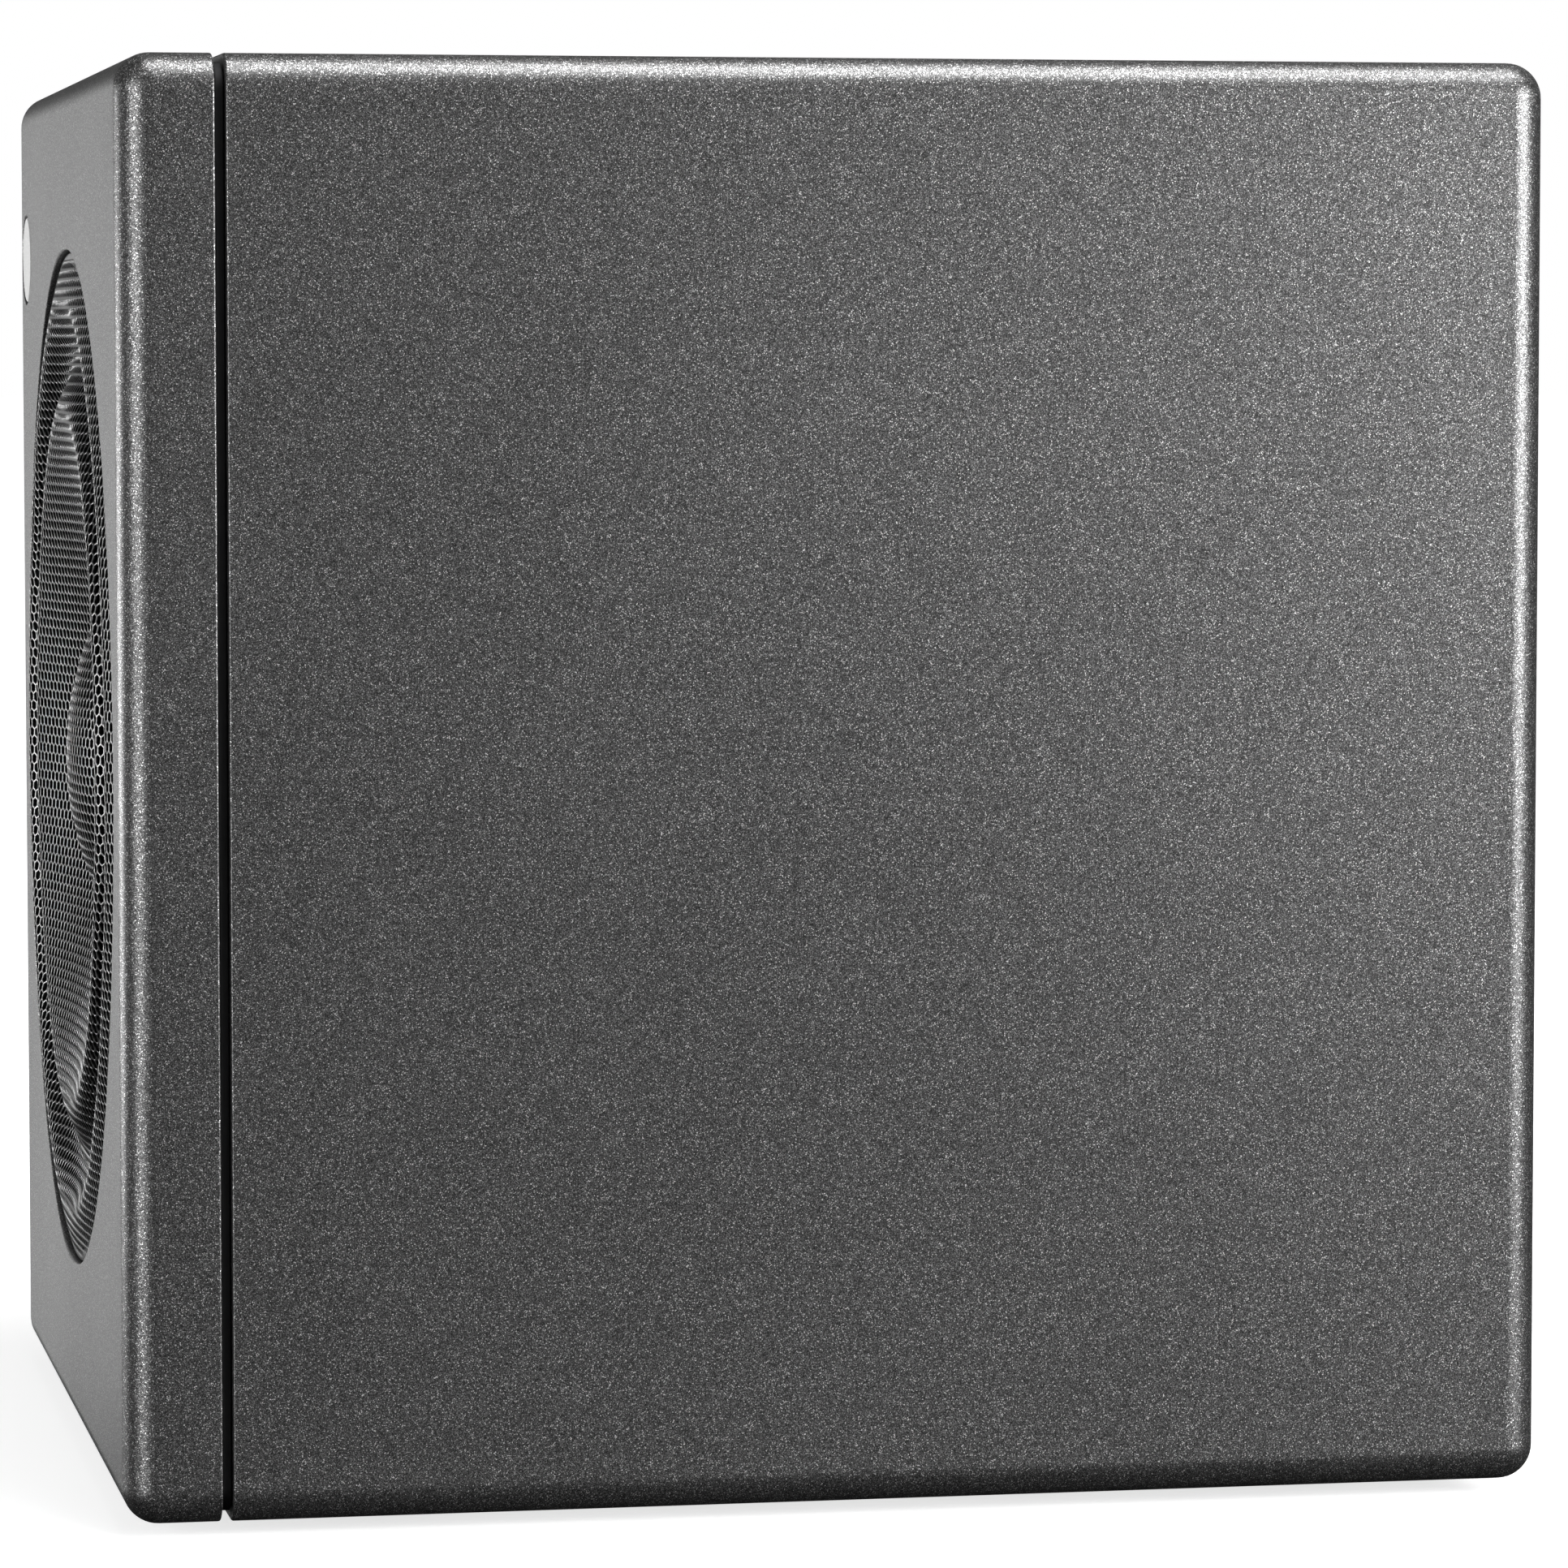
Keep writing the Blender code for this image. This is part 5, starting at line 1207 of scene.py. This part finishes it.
def make_tinsel_leads():
    """Two braided leads that hang between the terminals and the cone's neck."""
    for side, x in (("left", -9), ("right", 9)):
        route = [
            (x, -96.4, -49),
            (x, -93, -49.5),
            (x, -86, -52),
            (x * 0.9, -74, -53),
            (x * 0.8, -60, -50),
            (x * 0.6, -46, -49),
            (x * 0.5, -34, -52),
            (x * 0.4, -28.2, -53),
        ]
        places = [(dx * MM, DRIVER_Y - dy * MM, MIDDLE_Z + dz * MM) for dx, dz, dy in route]
        mesh = tube_mesh(places, 0.7 * MM)
        node = f"tinsel_lead_{side}"
        lead = piece(f"{node}_braid", mesh, COPPER, node, body=None)
        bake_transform(lead)


def make_speaker_cable():
    """The rubber lead from the amplifier's housing to the woofer's terminals."""
    low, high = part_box("speaker_cable")
    route = [
        (0, high.y, -100),
        (0, high.y - 18 * MM, -100),
        (4, 66 * MM, -112),
        (10, 40 * MM, -108),
        (12, 6 * MM, -112),
        (10, -30 * MM, -114),
        (3, -58 * MM, -106),
        (0, low.y + 4 * MM, -101.6),
        (0, low.y, -101.6),
    ]
    places = [(x * MM, y, MIDDLE_Z + z * MM) for x, y, z in route]
    piece("speaker_cable_lead", tube_mesh(places, 3 * MM), RUBBER, "speaker_cable")


# ----------------------------------------------------------------- seals and damping
def make_seals():
    low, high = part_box("grille_seat_ring")
    outer = 142.3 * MM
    profile = [(outer, low.y), (outer, high.y), (SEAT_RADIUS, high.y), (SEAT_RADIUS, low.y)]
    mesh = turned_mesh("grille_seat_soft", softened(profile, 0.5 * MM), 192)
    piece("grille_seat_soft", mesh, RUBBER, "grille_seat_ring")

    low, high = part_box("baffle_gasket")
    band = 14 * MM
    inset = Vector((band, -band, band))
    cuts = [slab_fill(low + inset, high - inset, 2 * MM)]
    band_fill = slab_fill(low, high, 6.7 * MM)
    shaping = {"cuts": cuts, "edge": 0.35 * MM}
    formed("baffle_gasket_soft", band_fill, RUBBER, "baffle_gasket", **shaping)


def foam_depth(u, v, length, across):
    """Depth of the egg-crate face, a little thinner where the pad was cut."""
    thick, floor, wave = 22 * MM, 12 * MM, 30 * MM
    bump = 0.5 + 0.5 * math.cos(2 * math.pi * u / wave) * math.cos(2 * math.pi * v / wave)
    bump = bump * bump * (3 - 2 * bump)
    border = min(u, length - u, v, across - v)
    ease = 1 - 0.18 * math.exp(-border / (2.5 * MM))
    return (floor + (thick - floor) * bump) * ease


def make_foam():
    """Three pads of egg-crate foam, against both sides and the top."""
    low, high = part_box("damping_foam")
    thick, cell = 22 * MM, 3.6 * MM
    across = high.y - low.y
    pads = {
        "left": ((-high.x, low.z), (0, 1), (1, 0), high.z - thick - low.z),
        "right": ((high.x, high.z - thick), (0, -1), (-1, 0), high.z - thick - low.z),
        "top": ((-high.x, high.z), (1, 0), (0, -1), 2 * high.x),
    }
    for side, (corner, along, inward, length) in pads.items():
        columns, rows = round(length / cell), round(across / cell)
        bm = bmesh.new()
        front, back = [], []
        for i in range(columns + 1):
            u = length * i / columns
            x, z = corner[0] + along[0] * u, corner[1] + along[1] * u
            front.append([])
            back.append([])
            for v in [across * j / rows for j in range(rows + 1)]:
                d = foam_depth(u, v, length, across)
                spot = (x + inward[0] * d, low.y + v, z + inward[1] * d)
                front[-1].append(bm.verts.new(spot))
                back[-1].append(bm.verts.new((x, low.y + v, z)))
        for i in range(columns):
            for j in range(rows):
                for grid in (front, back):
                    near, far = grid[i], grid[i + 1]
                    bm.faces.new((near[j], far[j], far[j + 1], near[j + 1]))
        rim = [(i, 0) for i in range(columns)]
        rim += [(columns, j) for j in range(rows)]
        rim += [(i, rows) for i in range(columns, 0, -1)]
        rim += [(0, j) for j in range(rows, 0, -1)]
        for (i, j), (k, m) in zip(rim, rim[1:] + rim[:1]):
            bm.faces.new((front[i][j], front[k][m], back[k][m], back[i][j]))
        name = f"damping_pad_{side}"
        pad = piece(name, mesh_from(name, bm, 60), FOAM, "damping_foam")


# ---------------------------------------------------------------- all of the object
make_front_panel()
make_cabinet()
make_status_light()
make_grille()
make_feet()
make_plate()
make_plate_marks()
make_screws()
for socket in INPUTS + OUTPUTS:
    make_xlr(socket)
make_connector_screws()
make_latch("left")
make_latch("right")
make_network_socket()
make_mains_inlet()
make_fuse_drawer()
make_power_switch()
for control in KNOBS:
    make_knob(control)
for control in SELECTORS:
    make_selector(control)
make_rear_sink()
make_control_board()
make_main_board()
make_transformer()
make_driver_frame()
make_motor()
make_cone()
make_suspension()
make_tinsel_leads()
make_speaker_cable()
make_seals()
make_foam()


# --------------------------------------------------------------------- stage, camera
def make_stage():
    """A pale floor that glows to white away from the object."""
    bm = bmesh.new()
    bmesh.ops.create_grid(bm, x_segments=1, y_segments=1, size=40)
    mesh = bpy.data.meshes.new("floor")
    bm.to_mesh(mesh)
    bm.free()
    floor = bpy.data.objects.new("floor", mesh)
    bpy.context.scene.collection.objects.link(floor)
    finish = Finish("pale_floor", 0.9, Base_Color=(0.9, 0.9, 0.9, 1))
    finish.shader.inputs["Emission Color"].default_value = (1, 1, 1, 1)
    away = finish.vector("LENGTH", finish.place).outputs["Value"]
    spread = {"From_Min": 0.35, "From_Max": 1.3, "To_Min": 0.72, "To_Max": 1.0}
    glow = add_node(finish.tree, "ShaderNodeMapRange", {"Value": away}, **spread)
    finish.tree.links.new(glow.outputs[0], finish.shader.inputs["Emission Strength"])
    mesh.materials.append(finish.material)
    floor.visible_diffuse = False
    floor.visible_glossy = False
    floor.visible_shadow = False


def make_world():
    """White behind the object, and a dim fill that is darker from below."""
    world = bpy.data.worlds.new("studio")
    bpy.context.scene.world = world
    world.use_nodes = True
    tree = world.node_tree
    tree.nodes.clear()
    ray = add_node(tree, "ShaderNodeTexCoord").outputs[0]
    height = add_node(tree, "ShaderNodeSeparateXYZ", {"Vector": ray}).outputs["Z"]
    spread = {"From_Min": -0.3, "From_Max": 0.6, "To_Min": 0.01, "To_Max": 0.1}
    fill = add_node(tree, "ShaderNodeMapRange", {"Value": height}, **spread).outputs[0]
    seen = add_node(tree, "ShaderNodeLightPath").outputs["Is Camera Ray"]
    strength = add_node(tree, "ShaderNodeMix", {"Factor": seen, "A": fill}, B=1.0).outputs[0]
    background = add_node(tree, "ShaderNodeBackground", {"Strength": strength})
    background.inputs["Color"].default_value = (1, 1, 1, 1)
    output = add_node(tree, "ShaderNodeOutputWorld")
    tree.links.new(background.outputs[0], output.inputs["Surface"])


def area_light(name, place, size, power):
    """A rectangular lamp that faces the middle of the cabinet."""
    data = bpy.data.lights.new(name, "AREA")
    data.shape = "RECTANGLE"
    data.size, data.size_y = size
    data.energy = power
    light = bpy.data.objects.new(name, data)
    bpy.context.scene.collection.objects.link(light)
    light.location = place
    aim = Vector((0, 0, MIDDLE_Z)) - Vector(place)
    light.rotation_euler = aim.to_track_quat("-Z", "Y").to_euler()


def make_camera():
    yaw, pitch, roll = 0.1901, -0.06615, -0.00036
    level = math.cos(pitch)
    ahead = Vector((-math.cos(yaw) * level, math.sin(yaw) * level, math.sin(pitch)))
    right = Vector((math.sin(yaw), math.cos(yaw), 0))
    up = right.cross(ahead)
    c, s = math.cos(roll), math.sin(roll)
    right, up = c * right + s * up, c * up - s * right
    data = bpy.data.cameras.new("camera")
    data.sensor_width = 36
    data.lens = 151.01
    data.clip_start, data.clip_end = 0.05, 60
    camera = bpy.data.objects.new("camera", data)
    bpy.context.scene.collection.objects.link(camera)
    turn = Matrix((right, up, -ahead)).transposed().to_4x4()
    centre = Vector((0, 0.5 * MM, MIDDLE_Z))
    offset = Vector((1.86104, -0.34343, 0.11524))
    camera.matrix_world = Matrix.Translation(centre + offset) @ turn
    bpy.context.scene.camera = camera


make_stage()
make_world()
area_light("rear_right", (1.6, 1.6, 0.63), (0.9, 0.9), 51)
area_light("front_right", (1.37, -1.79, 0.4), (0.7, 1.3), 20)
area_light("front_left", (-1.2, -1.69, 0.13), (0.75, 0.36), 11.5)
area_light("left", (-2.0, -0.45, 0.12), (0.6, 0.9), 1.9)
area_light("top", (0.6, 0.4, 2.2), (1.2, 1.2), 42)
make_camera()
bpy.context.scene.view_settings.view_transform = "Standard"


def corners(box):
    return [list(corner) for corner in box]
